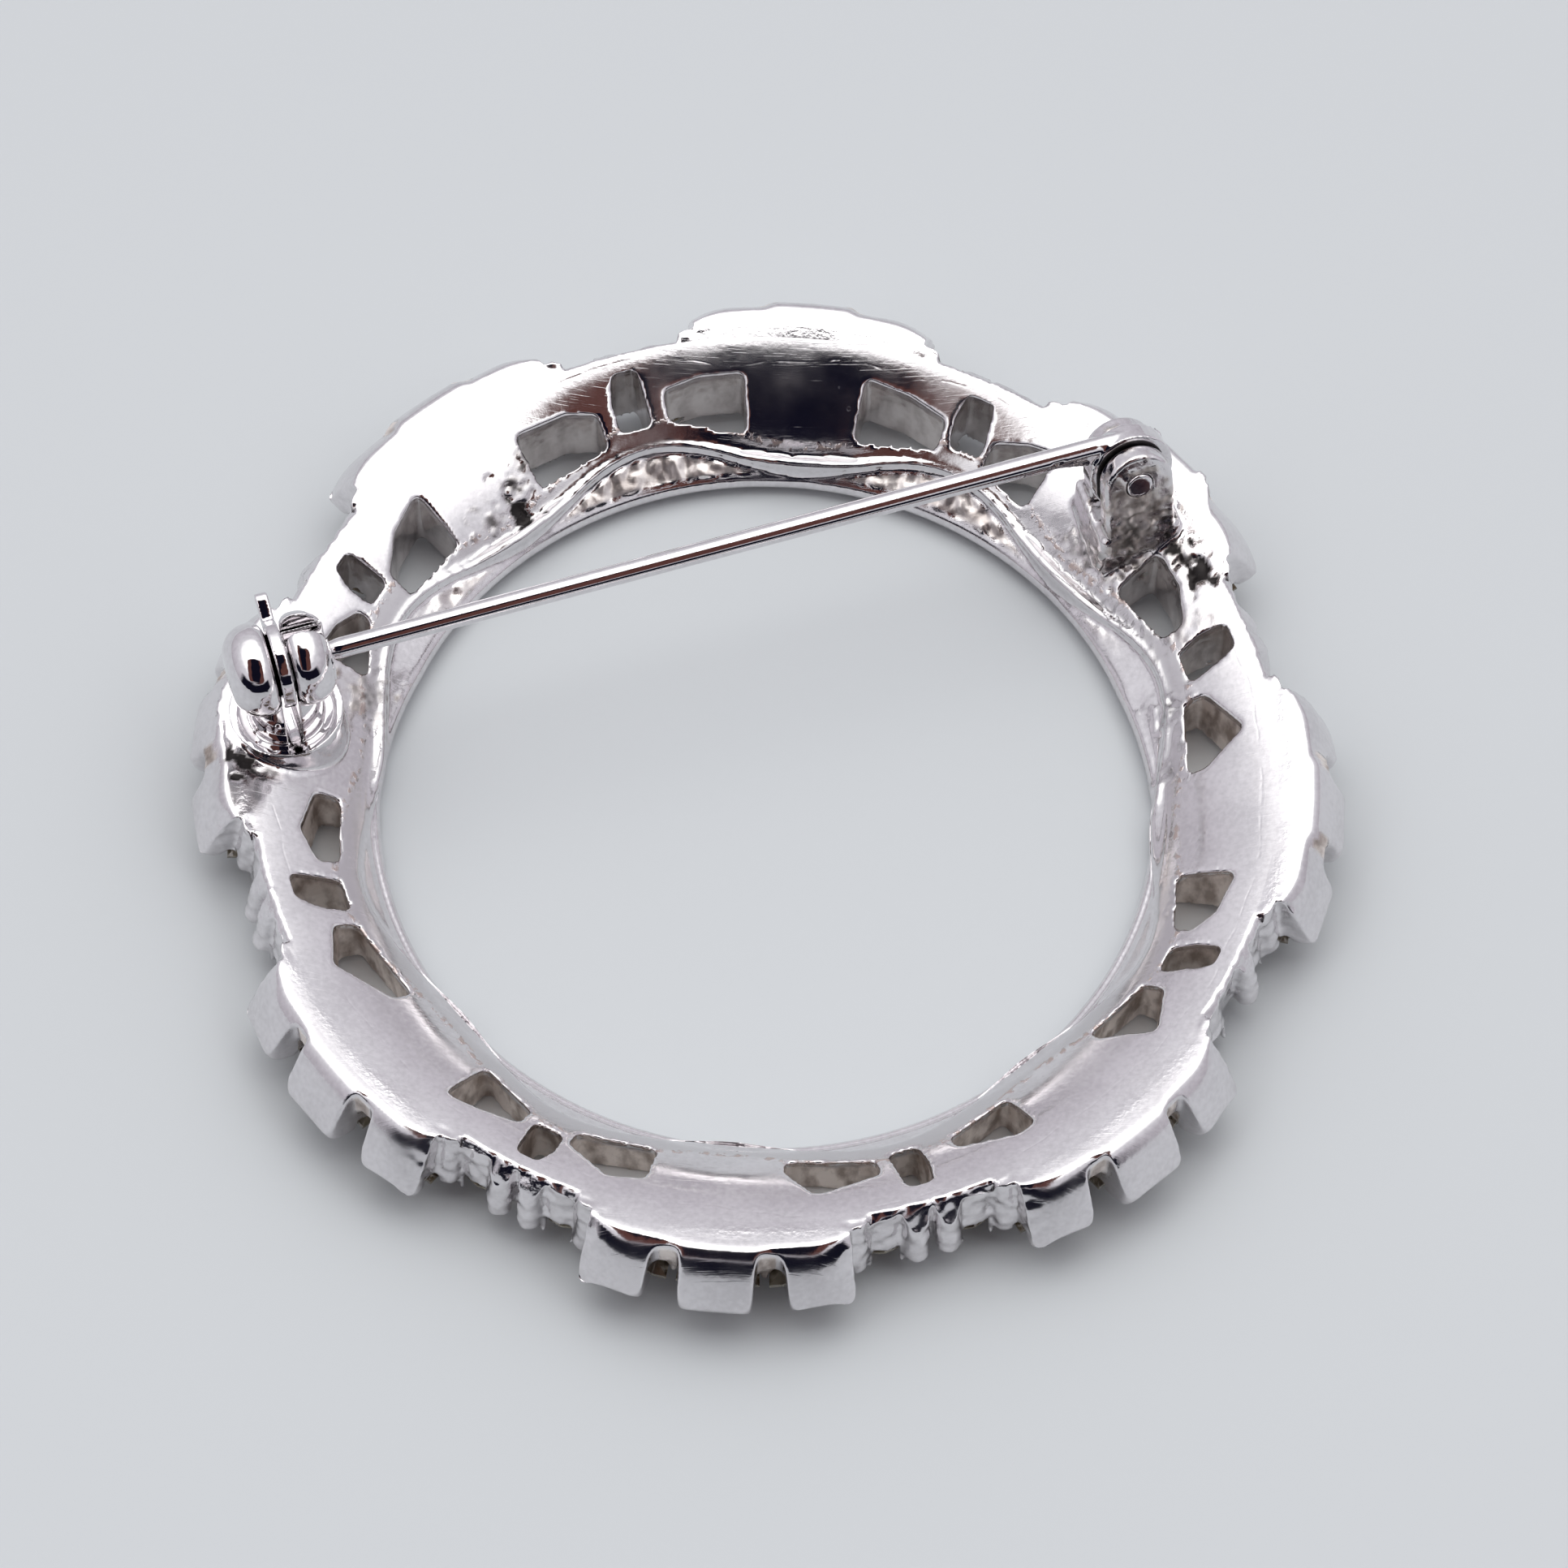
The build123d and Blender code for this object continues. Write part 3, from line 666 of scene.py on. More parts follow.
MARKS = (
    # the rough face of the near hinge ear
    Mark(13.30, 10.15, 5.5, 1.10, 0.00, 0.05, 0.35, 1.3),
    Mark(13.20, 9.55, 4.3, 0.90, 0.00, 0.10, 0.6, 1.3),
    # pits and solder beside the hinge
    Mark(15.62, 8.40, 3.6, 0.50, 0.16, 0.05, 1.8, 0.6),
    Mark(15.30, 9.00, 3.6, 0.30, 0.05, 0.04, 0.7, 0.5),
    Mark(14.75, 9.45, 3.5, 0.45, 0.03, 0.06, 1.2, 0.8),
    Mark(13.30, 9.05, 3.3, 0.70, 0.03, 0.07, 0.6, 0.8),
    Mark(12.35, 9.30, 2.9, 0.60, 0.00, 0.07, 0.5, 0.6),
    Mark(11.30, 10.20, 2.3, 0.55, 0.00, 0.07, 0.4, 0.4),
    Mark(14.80, 6.60, 2.7, 0.70, 0.00, 0.05, 0.3, 0.5),
    # dark pit and stains by the catch
    Mark(-18.70, -0.95, 3.9, 0.42, 0.10, 0.03, 1.7, 0.5),
    Mark(-17.75, -1.20, 3.6, 0.30, 0.05, 0.03, 0.5, 0.4),
    Mark(-14.70, 3.10, 1.8, 0.70, 0.00, 0.03, 0.4, 1.1),
    # scar on the lobe between the catch and the top
    Mark(-9.40, 12.95, 2.6, 0.40, 0.00, 0.09, 0.6, 0.4),
    Mark(-9.75, 12.25, 2.3, 0.42, 0.03, 0.10, 0.7, 0.4),
    Mark(-9.55, 11.45, 1.8, 0.40, 0.12, 0.06, 1.7, 0.6),
    Mark(-10.60, 10.90, 1.8, 0.40, 0.00, 0.08, 0.6, 0.4),
    # rough spots along the right-hand inner edge
    Mark(14.60, 3.60, 1.9, 0.50, 0.00, 0.12, 0.4),
    Mark(14.40, 1.20, 1.6, 0.50, 0.00, 0.10, 0.3),
    Mark(15.10, -4.60, 2.0, 0.45, 0.00, 0.08, 0.3),
)


@dataclass
class Survey:
    """Where each vertex of the casting lies: one value, or one row, for each."""

    place: np.ndarray
    facing: np.ndarray
    radius: np.ndarray
    turn: np.ndarray
    lobe_turn: np.ndarray
    swing: np.ndarray
    inner: np.ndarray
    outer: np.ndarray
    depth: np.ndarray
    away: np.ndarray


@dataclass
class CastRing:
    """The cast and polished ring, with its rolled inner rim, its raw openings and its worn spots.

    A pair of numbers gives where a share begins and where it is full. Depths under the plate's back and
    hollows are in millimetres, angles off a lobe's middle in degrees.
    """

    nodes: dict
    voxel: float = 0.105 * MM
    smooth_turns: int = 4
    fine_turns: int = 7
    calm_turns: int = 14
    soft_turns: int = 26
    sectors: int = 8
    # edges of the plate
    lobe_in_r: float = 13.95 * MM
    waist_in_r: float = 15.05 * MM
    lobe_out_r: float = 19.0 * MM
    waist_out_r: float = 18.4 * MM
    lip_r: float = 14.5 * MM
    # rolled rim, thick on the top side
    roll_r: float = 0.23 * MM
    roll_thin: float = 0.55
    roll_end: float = -0.30
    roll_full: float = 0.35
    roll_drop: float = 0.30 * MM
    roll_steps: int = 288
    roll_sides: int = 12
    # webs in the notches between the end blocks
    block_gap_turn: float = 4.85
    web_from: float = 18.7 * MM
    web_r: float = 20.15 * MM
    web_low_r: float = 19.6 * MM
    web_level: float = -0.45
    web_depth: float = 1.5 * MM
    web_sink: float = 0.04 * MM
    web_half: float = math.radians(2.0)
    # section of the rail's swelling: radius and height, in millimetres
    gallery: tuple = (
        (14.15, 0.12), (13.85, 0.25), (13.72, 0.50), (13.76, 0.80), (14.00, 1.02),
        (15.12, 1.76), (15.12, 0.72), (14.20, 0.70),
    )
    gallery_r: float = 14.05 * MM
    gallery_less: float = 0.32 * MM
    # back, brought to one dome, and the slopes of the blocks and prongs off it
    dome_from: tuple = (17.2 * MM, 17.5 * MM)
    dome_to: tuple = (19.6 * MM, 20.0 * MM)
    top_depth: float = 0.16
    brow_r: float = 19.60 * MM
    side_less: float = 0.20 * MM
    side_turn: tuple = (4.6, 5.0)
    end_less: float = 0.02 * MM
    end_turn: float = 9
    end_span: float = 5
    prong_turn: float = 15.5
    prong_brow_r: float = 18.30 * MM
    brow_blend: float = 0.1 * MM
    face_slope: float = 0.95
    face_bulge: float = 0.50 / MM
    # end blocks, softened more than the rest
    block_from: tuple = (18.9 * MM, 19.6 * MM)
    block_turn: tuple = (15.5, 17.0)
    # raw walls of the openings and notches, less raw on the top side
    raw_in: tuple = (0.35 * MM, 0.6 * MM)
    raw_out: tuple = (0.5 * MM, 0.3 * MM)
    raw_depth: tuple = (0.22, 0.45)
    raw_less: float = 0.55
    top_side: tuple = (2 * MM, 9 * MM)
    notch_half: tuple = (0.26 * MM, 0.42 * MM)
    notch_from: tuple = (18.8 * MM, 19.1 * MM)
    notch_depth: tuple = (0.2, 0.5)
    # raw strip of the rail's inner wall, on the top side
    strip_in: tuple = (0.25 * MM, 0.1 * MM)
    strip_low: tuple = (0.95 * MM, 1.1 * MM)
    strip_high: tuple = (1.7 * MM, 1.9 * MM)
    strip_side: tuple = (6 * MM, 9 * MM)
    strip_raw: float = 0.7
    # painted shade in hollows, less of it near the inner edge, and painted shade in the hinge's crevice
    hollow_shade: tuple = (0.03, 0.075)
    hollow_shade_least: float = 0.35
    hollow_shade_in: tuple = (1.2 * MM, 2.0 * MM)
    hinge_axis: tuple = (-0.3159, 0.8971, -0.3090)
    hinge_z: float = 6.03 * MM
    ear_face: float = -0.53 * MM
    crevice_half: tuple = (0.06 * MM, 0.12 * MM)
    crevice_low: tuple = (4.4 * MM, 4.6 * MM)
    crevice_reach: float = 2.5 * MM
    # flaked seam and plain lip along the inner edge
    seam_in: float = 0.88 * MM
    seam_half: tuple = (0.05 * MM, 0.16 * MM)
    seam_depth: tuple = (0.25, 0.5)
    lip_from: tuple = (-0.1 * MM, 0.15 * MM)
    lip_to: tuple = (0.75 * MM, 0.95 * MM)
    lip_low: tuple = (1.2 * MM, 1.6 * MM)
    lip_depth: tuple = (0.3, 0.6)
    lip_bend: float = 0.9
    bend_r: float = 14.55 * MM
    bend_low: tuple = (0.9 * MM, 1.2 * MM)
    # lumps of the cast walls: size of a lump, and height in millimetres
    waist_lump: tuple = (0.42 * MM, 0.07)
    strip_lump: tuple = (0.45 * MM, 0.14)
    raw_lump: tuple = (0.22 * MM, 0.03)
    waist_swing: tuple = (-0.1, 0.5)
    waist_wall: float = 0.25 * MM
    waist_low: tuple = (0.8 * MM, 1.4 * MM)
    # marks: how ragged they are, and the lumps in them
    ragged: float = 1.1
    ragged_lump: float = 0.38 * MM
    mark_lump: float = 0.3 * MM
    soot_and_shade_lump: float = 0.25 * MM
    faint: float = 0.02
    # catch and hinge
    high: float = 4.30 * MM
    catch_at: tuple = (-17.301 * MM, 1.197 * MM)
    catch_cut: float = 3.60 * MM
    catch_reach: float = 2.12 * MM
    hinge_at: tuple = (12.87 * MM, 11.43 * MM)
    hinge_cut: float = 4.45 * MM
    fine_reach: float = 3.4 * MM
    clear_z: float = 4.30 * MM
    fine_voxel: float = 0.05 * MM
    catch_clear: float = 2.5 * MM
    hinge_clear: float = 3.2 * MM

    def build(self, finish: bpy.types.Material, polished: bpy.types.Material) -> list:
        """Remeshes the casting so that every edge is softened, ages it and parts it into sectors.

        Args:
            finish: Metal of the casting.
            polished: Metal of the catch's beads.

        Returns:
            The pieces.
        """
        whole = Piece("ring_whole", merged_copy(self.nodes["ring_frame"]))
        casting = whole.object.data
        fittings = [
            self.fitting("catch_housing", casting, self.catch_at, self.catch_cut, self.catch_reach),
            self.fitting("hinge_ears", casting, self.hinge_at, self.hinge_cut, self.fine_reach),
        ]
        self.add_roll(casting)
        self.add_webs(casting)
        self.add_gallery(casting)
        whole.apply("REMESH", mode="VOXEL", voxel_size=self.voxel)
        whole.apply("SMOOTH", factor=0.5, iterations=self.smooth_turns)
        self.round_off(whole.object.data)
        inside = self.catch_reach - 2 * self.voxel
        self.trim(whole.object.data, self.catch_at, self.catch_cut, inside)
        self.trim(whole.object.data, self.hinge_at, self.hinge_cut, self.fine_reach)
        self.age(whole)
        shade_smooth(whole.object.data)
        log.info("ring remeshed: %d faces", len(whole.object.data.polygons))
        pieces = [self.sector(whole.object.data, index) for index in range(self.sectors)]
        bpy.data.objects.remove(whole.object)
        for piece in fittings:
            self.age(piece)
        for piece in pieces + fittings:
            piece.dress(finish, "white_gold", Body.FRAME)
            log.info("%s: %d faces", piece.object.name, len(piece.object.data.polygons))
        fittings[0].object.data.materials[0] = polished
        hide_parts("ring_frame")
        return pieces + fittings

    def back_under(self, radius: np.ndarray) -> np.ndarray:
        """Height of the plate's back, level inside its lip and past the dome's middle."""
        return PLAN.back_z(np.clip(radius, self.lip_r, PLAN.dome_middle[0]))

    def wave(self, lobe_r: float, waist_r: float, swing: Amount) -> Amount:
        """Radius of a wavy outline.

        Args:
            lobe_r: Radius at the lobes.
            waist_r: Radius at the waists.
            swing: From -1 at a lobe to 1 at a waist, one or many.

        Returns:
            The radius, in the same form.
        """
        return (lobe_r + waist_r) / 2 - (lobe_r - waist_r) / 2 * swing

    def roll_shown(self, upward: Amount) -> Amount:
        """How much of the rolled rim shows.

        Args:
            upward: Sine of the angle towards the top side, one or many.

        Returns:
            The share, in the same form.
        """
        return np.clip((upward - self.roll_end) / (self.roll_full - self.roll_end), 0, 1)

    def add_roll(self, mesh: bpy.types.Mesh) -> None:
        """Adds the rolled rim of the plate's inner edge to the casting's mesh.

        Args:
            mesh: Mesh of the casting.
        """
        work = bmesh.new()
        mean_r = (self.lobe_in_r + self.waist_in_r) / 2
        place = Matrix.Translation((mean_r, 0, 0)) @ Matrix.Rotation(math.pi / 2, 4, "X")
        bmesh.ops.create_circle(work, segments=self.roll_sides, radius=self.roll_r, matrix=place)
        bmesh.ops.spin(
            work, geom=work.verts[:] + work.edges[:], cent=(0, 0, 0), axis=(0, 0, 1),
            angle=math.tau, steps=self.roll_steps, use_merge=True,
        )
        for vert in work.verts:
            turn = math.atan2(vert.co.y, vert.co.x) - math.radians(PLAN.first_waist)
            swing = math.cos(PLAN.periods * turn)
            lobe_share = (1 - swing) / 2
            outwards = Vector((vert.co.x, vert.co.y, 0)).normalized()
            shown = self.roll_shown(outwards.y)
            thick = (self.roll_thin + (1 - self.roll_thin) * lobe_share) * (0.5 + 0.5 * shown)
            middle = self.wave(self.lobe_in_r, self.waist_in_r, swing) + self.roll_r * thick * 0.95
            off = (Vector((vert.co.x, vert.co.y, 0)).length - mean_r) * thick
            rise = PLAN.back_z(max(self.lip_r, middle)) + self.roll_r * (0.85 * lobe_share * shown - 0.2)
            rise -= self.roll_drop * (1 - shown)
            vert.co = outwards * (middle + off) + Vector((0, 0, rise + vert.co.z * thick))
        join_into(work, mesh)

    def add_webs(self, mesh: bpy.types.Mesh) -> None:
        """Fills the notches between the end blocks, near the plate.

        Args:
            mesh: Mesh of the casting.
        """
        work = bmesh.new()
        for index in range(2 * PLAN.periods):
            lobe, side = divmod(index, 2)
            middle = PLAN.first_waist + (lobe + 0.5) * PLAN.period
            turn = math.radians(middle + (2 * side - 1) * self.block_gap_turn)
            start, end = self.web_from, self.web_r if math.sin(turn) > self.web_level else self.web_low_r
            start_z, end_z = PLAN.back_z(start), PLAN.back_z(end)
            corners = (
                (start, start_z - self.web_depth), (end, end_z - self.web_depth),
                (end, end_z - self.web_sink), (start, start_z - self.web_sink),
            )
            begin = Matrix.Rotation(turn - self.web_half, 4, "Z")
            face = work.faces.new([work.verts.new(begin @ Vector((r, 0, z))) for r, z in corners])
            bmesh.ops.spin(
                work, geom=[face, *face.edges, *face.verts], cent=(0, 0, 0), axis=(0, 0, 1),
                angle=2 * self.web_half, steps=4,
            )
        join_into(work, mesh)

    def add_gallery(self, mesh: bpy.types.Mesh) -> None:
        """Adds the smooth swelling of the front rail under the plate's inner edge.

        Args:
            mesh: Mesh of the casting.
        """
        work = bmesh.new()
        verts = [work.verts.new(Vector((r, 0, z)) * MM) for r, z in self.gallery]
        edges = [work.edges.new((vert, verts[i - 1])) for i, vert in enumerate(verts)]
        bmesh.ops.spin(
            work, geom=verts + edges, cent=(0, 0, 0), axis=(0, 0, 1),
            angle=math.tau, steps=self.roll_steps, use_merge=True,
        )
        for vert in work.verts:
            outwards = Vector((vert.co.x, vert.co.y, 0)).normalized()
            shown = min(1, max(0, outwards.y / self.roll_full))
            if self.reach(vert.co, (0, 0)) < self.gallery_r:
                vert.co += outwards * self.gallery_less * (1 - shown)
        join_into(work, mesh)

    def fitting(self, name: str, mesh: bpy.types.Mesh, place: tuple, cut: float, foot: float) -> Piece:
        """Makes a finer piece of what stands above a level at one place of the casting.

        Args:
            name: Name of the piece.
            mesh: Mesh of the casting.
            place: Where the fitting stands, in X and Y.
            cut: The level.
            foot: How wide its foot is, below the level that clears the plate.

        Returns:
            The piece.
        """
        part = mesh.copy()
        work = bmesh.new()
        work.from_mesh(part)
        away = [f for f in work.faces if self.reach(f.calc_center_median(), place) > self.fine_reach]
        bmesh.ops.delete(work, geom=away, context="FACES")
        everything = work.verts[:] + work.edges[:] + work.faces[:]
        level = (0, 0, cut - 2 * self.fine_voxel)
        bmesh.ops.bisect_plane(work, geom=everything, plane_co=level, plane_no=(0, 0, 1), clear_inner=True)
        rim = [e for e in work.edges if e.is_boundary]
        bmesh.ops.triangle_fill(work, use_beauty=True, edges=rim)
        bmesh.ops.recalc_face_normals(work, faces=work.faces)
        work.to_mesh(part)
        work.free()
        piece = Piece(name, part)
        piece.apply("REMESH", mode="VOXEL", voxel_size=self.fine_voxel)
        self.keep_foot(piece.object.data, place, foot)
        piece.apply("SMOOTH", factor=0.5, iterations=self.fine_turns)
        shade_smooth(piece.object.data)
        return piece

    def reach(self, point: Vector, place: tuple) -> float:
        """Level distance of a point from a place."""
        return math.hypot(point.x - place[0], point.y - place[1])

    def keep_foot(self, mesh: bpy.types.Mesh, place: tuple, foot: float) -> None:
        """Takes off what a fitting's piece has beside its foot.

        Args:
            mesh: Mesh of the fitting.
            place: Where it stands.
            foot: How wide its foot is.
        """
        work = bmesh.new()
        work.from_mesh(mesh)
        beside = [f for f in work.faces if self.beside(f.calc_center_median(), place, foot)]
        bmesh.ops.delete(work, geom=beside, context="FACES")
        work.to_mesh(mesh)
        work.free()

    def beside(self, point: Vector, place: tuple, foot: float) -> bool:
        """Whether a low point lies outside a fitting's foot."""
        return point.z < self.clear_z and self.reach(point, place) > foot

    def trim(self, mesh: bpy.types.Mesh, place: tuple, cut: float, foot: float) -> None:
        """Takes the coarse copy of a fitting off the ring.

        Args:
            mesh: Mesh of the ring.
            place: Where the fitting stands.
            cut: Level above which faces go.
            foot: How wide its foot is, below the level that clears the plate.
        """
        work = bmesh.new()
        work.from_mesh(mesh)
        near = []
        for face in work.faces:
            point = face.calc_center_median()
            wide = foot if point.z < self.clear_z else self.fine_reach
            if point.z > cut and self.reach(point, place) < wide:
                near.append(face)
        bmesh.ops.delete(work, geom=near, context="FACES")
        work.to_mesh(mesh)
        work.free()

    def clear_of_fittings(self, place: np.ndarray) -> np.ndarray:
        """Marks the places that are well away from the catch and the hinge."""
        from_catch = np.hypot(place[:, 0] - self.catch_at[0], place[:, 1] - self.catch_at[1])
        from_hinge = np.hypot(place[:, 0] - self.hinge_at[0], place[:, 1] - self.hinge_at[1])
        return (from_catch > self.catch_clear) & (from_hinge > self.hinge_clear)

    def round_off(self, mesh: bpy.types.Mesh) -> None:
        """Brings the back to one smooth dome and slopes the blocks and prongs off it.

        Args:
            mesh: Mesh of the ring.
        """
        place = vertex_rows(mesh, "co")
        away = self.clear_of_fittings(place)
        radius = np.hypot(place[:, 0], place[:, 1])
        back = self.back_under(radius)
        off = np.abs(back - place[:, 2]) / MM
        top = ease(radius, *self.dome_from) * (1 - ease(radius, *self.dome_to))
        top = top * (1 - ease(off, self.top_depth, 2 * self.top_depth)) * away
        place[:, 2] += (back - place[:, 2]) * top
        turn = np.degrees(np.arctan2(place[:, 1], place[:, 0])) - PLAN.first_waist
        lobe_turn = np.abs((turn % PLAN.period) - PLAN.period / 2)
        brow_r = self.brow_r - self.side_less * ease(lobe_turn, *self.side_turn)
        brow_r = brow_r - self.end_less * np.clip(lobe_turn - self.end_turn, 0, self.end_span) ** 2
        brow_r = np.where(lobe_turn > self.prong_turn, self.prong_brow_r, brow_r)
        past = np.maximum(radius - brow_r, 0)
        slope_z = PLAN.back_z(brow_r) - past * (self.face_slope + self.face_bulge * past)
        sloped = np.minimum(place[:, 2], slope_z)
        place[:, 2] += (sloped - place[:, 2]) * away * ease(radius, brow_r - self.brow_blend, brow_r)
        mesh.vertices.foreach_set("co", place.ravel())
        mesh.update()

    def survey(self, mesh: bpy.types.Mesh) -> Survey:
        """Finds where each vertex lies on the ring.

        Args:
            mesh: Mesh of the ring or of a fitting.

        Returns:
            The survey.
        """
        place, facing = vertex_rows(mesh, "co"), vertex_rows(mesh, "normal")
        radius = np.hypot(place[:, 0], place[:, 1])
        turn = np.arctan2(place[:, 1], place[:, 0]) - math.radians(PLAN.first_waist)
        swing = np.cos(PLAN.periods * turn)
        return Survey(
            place=place,
            facing=facing,
            radius=radius,
            turn=turn,
            lobe_turn=(np.degrees(turn) % PLAN.period) - PLAN.period / 2,
            swing=swing,
            inner=self.wave(self.lobe_in_r, self.waist_in_r, swing),
            outer=self.wave(self.lobe_out_r, self.waist_out_r, swing),
            depth=(self.back_under(radius) - place[:, 2]) / MM,
            away=self.clear_of_fittings(place),
        )

    def age(self, whole: Piece) -> None:
        """Softens the end blocks, roughens the worn spots and marks where the metal is raw, stained or
        darkened with painted shade.

        Args:
            whole: The ring, or a fitting.
        """
        mesh = whole.object.data
        at = self.survey(mesh)
        hollow = np.einsum("ij,ij->i", self.smoothed(mesh, self.calm_turns) - at.place, at.facing) / MM
        walls = self.raw_walls(at)
        off_block = ease(np.abs(at.lobe_turn), *self.block_turn)
        block = ease(at.radius, *self.block_from) * (1 - off_block) * at.away
        at.place += (self.smoothed(mesh, self.soft_turns) - at.place) * block[:, None]
        strip = self.rail_strip(at)
        raw = np.maximum(np.maximum(walls, self.raw_notches(at)), self.strip_raw * strip)
        # painted shade: darker where the surface sinks below its smoothed copy, less near the inner edge
        near_rim = ease(at.radius, at.inner + self.hollow_shade_in[0], at.inner + self.hollow_shade_in[1])
        soot_and_shade = ease(hollow, *self.hollow_shade) * (self.hollow_shade_least + (1 - self.hollow_shade_least) * near_rim)
        # painted shade in the narrow gap beside the near ear
        soot_and_shade = np.maximum(soot_and_shade, self.crevice_shade(at))
        seam = 1 - ease(np.abs(at.radius - at.inner - self.seam_in), *self.seam_half)
        seam = seam * (1 - ease(np.abs(at.depth), *self.seam_depth))
        lip = self.plain_lip(at)
        shift = self.lumps(at, strip, raw)
        shown = self.roll_shown(np.sin(at.turn + math.radians(PLAN.first_waist)))
        bend = np.clip(self.bend_r - at.radius, 0, 1) * self.lip_bend * (1 - shown)
        at.place[:, 2] -= bend * ease(at.place[:, 2], *self.bend_low)
        shift, raw, soot_and_shade = self.add_marks(at, shift, raw, soot_and_shade)
        at.place += at.facing * (shift * MM)[:, None]
        mesh.vertices.foreach_set("co", at.place.ravel())
        shares = {"raw": np.clip(raw, 0, 1), "soot_and_shade": np.clip(soot_and_shade, 0, 1), "seam": seam, "lip": lip}
        for name, values in shares.items():
            mesh.attributes.new(name, "FLOAT", "POINT").data.foreach_set("value", values)

    def raw_walls(self, at: Survey) -> np.ndarray:
        """How raw the walls of the openings are.

        Args:
            at: The survey of the mesh.

        Returns:
            A share for each vertex.
        """
        inside = ease(at.radius, at.inner + self.raw_in[0], at.inner + self.raw_in[1])
        inside = inside * (1 - ease(at.radius, at.outer - self.raw_out[0], at.outer - self.raw_out[1]))
        raw = inside * ease(at.depth, *self.raw_depth) * (at.place[:, 2] < self.high)
        return raw * (1 - self.raw_less * ease(at.place[:, 1], *self.top_side))

    def raw_notches(self, at: Survey) -> np.ndarray:
        """How raw the notches between the end blocks are.

        Args:
            at: The survey of the mesh.

        Returns:
            A share for each vertex.
        """
        off = np.abs(np.abs(at.lobe_turn) - self.block_gap_turn) * np.pi / 180 * at.radius
        near = 1 - ease(off, *self.notch_half)
        return near * ease(at.radius, *self.notch_from) * ease(at.depth, *self.notch_depth)

    def rail_strip(self, at: Survey) -> np.ndarray:
        """How much of the rail's bare inner wall shows, on the top side.

        Args:
            at: The survey of the mesh.

        Returns:
            A share for each vertex.
        """
        height = at.place[:, 2]
        strip = 1 - ease(at.radius, at.inner - self.strip_in[0], at.inner - self.strip_in[1])
        strip = strip * ease(height, *self.strip_low) * (1 - ease(height, *self.strip_high))
        return strip * ease(at.place[:, 1], *self.strip_side)

    def crevice_shade(self, at: Survey) -> np.ndarray:
        """How much painted shade darkens the narrow gap beside the near ear.

        Args:
            at: The survey of the mesh.

        Returns:
            A share for each vertex.
        """
        from_hinge = at.place - np.array((*self.hinge_at, self.hinge_z))
        off_face = np.abs(from_hinge @ np.array(self.hinge_axis) - self.ear_face)
        share = (1 - ease(off_face, *self.crevice_half)) * ease(at.place[:, 2], *self.crevice_low) * ~at.away
        return share * (np.linalg.norm(from_hinge, axis=1) < self.crevice_reach)

    def plain_lip(self, at: Survey) -> np.ndarray:
        """How much the plate's inner lip is plain grey metal.

        Args:
            at: The survey of the mesh.

        Returns:
            A share for each vertex.
        """
        lip = ease(at.radius, at.inner + self.lip_from[0], at.inner + self.lip_from[1])
        lip = lip * (1 - ease(at.radius, at.inner + self.lip_to[0], at.inner + self.lip_to[1]))
        return lip * ease(at.place[:, 2], *self.lip_low) * (1 - ease(at.depth, *self.lip_depth))

    def lumps(self, at: Survey, strip: np.ndarray, raw: np.ndarray) -> np.ndarray:
        """Makes the lumps of the cast walls.

        Args:
            at: The survey of the mesh.
            strip: Share of the rail's strip.
            raw: Share of the raw metal.

        Returns:
            How far each vertex goes out, in millimetres.
        """
        waist = ease(at.swing, *self.waist_swing) * ease(at.radius, at.outer - self.waist_wall, at.outer)
        waist = waist * ease(at.place[:, 2], *self.waist_low)
        shift = np.zeros(len(at.place))
        for share, (size, height) in (
            (waist, self.waist_lump), (strip, self.strip_lump), (raw, self.raw_lump),
        ):
            shift += self.grain(at.place, share, size) * height
        return shift

    def add_marks(self, at: Survey, shift: np.ndarray, raw: np.ndarray, soot_and_shade: np.ndarray) -> tuple:
        """Adds the pits, the scars and the solder beside the fittings.

        Args:
            at: The survey of the mesh.
            shift: How far each vertex goes out, in millimetres.
            raw: Share of the raw metal.
            soot_and_shade: Share of the stains and painted shade.

        Returns:
            The last three with the marks in them.
        """
        for mark in MARKS:
            spot = np.array((mark.x, mark.y, mark.z)) * MM
            far = np.linalg.norm(at.place - spot, axis=1) / (mark.reach * MM)
            far *= 1 + self.ragged * self.grain(at.place, 1.0 * (far < 3), self.ragged_lump)
            near = np.exp(-far ** 2)
            near[near < self.faint] = 0
            shift = shift + self.grain(at.place, near, self.mark_lump) * mark.rough - near * mark.sink
            # a mark's darkening: stains, and painted shade in its pit
            solid = max(0.0, mark.soot_and_shade - 1)
            patchy = ease(self.grain(at.place, near, self.soot_and_shade_lump) + solid, -0.35, 0.25)
            dark = near * mark.soot_and_shade * 1.4 * patchy
            soot_and_shade = np.maximum(soot_and_shade, ease(dark, 0.7, 1.1) if solid else dark)
            raw = np.maximum(raw, near * mark.raw)
        return shift, raw, soot_and_shade

    def smoothed(self, mesh: bpy.types.Mesh, turns: int) -> np.ndarray:
        """Places of a mesh's vertices after smoothing.

        Args:
            mesh: The mesh, which stays as it is.
            turns: How many times it is smoothed.

        Returns:
            One row for each vertex.
        """
        slow = Piece("ring_slow", mesh.copy())
        slow.apply("SMOOTH", factor=0.5, iterations=turns)
        places = vertex_rows(slow.object.data, "co")
        bpy.data.objects.remove(slow.object)
        return places

    def grain(self, place: np.ndarray, share: np.ndarray, size: float) -> np.ndarray:
        """Noise at each vertex where a share is above zero.

        Args:
            place: Vertex places.
            share: How much of the noise shows at each vertex.
            size: Size of the noise's lumps.

        Returns:
            The noise times the share.
        """
        values = np.zeros(len(place))
        for index in np.nonzero(share > 0.01)[0]:
            values[index] = noise.noise(Vector(place[index] / size)) * share[index]
        return values

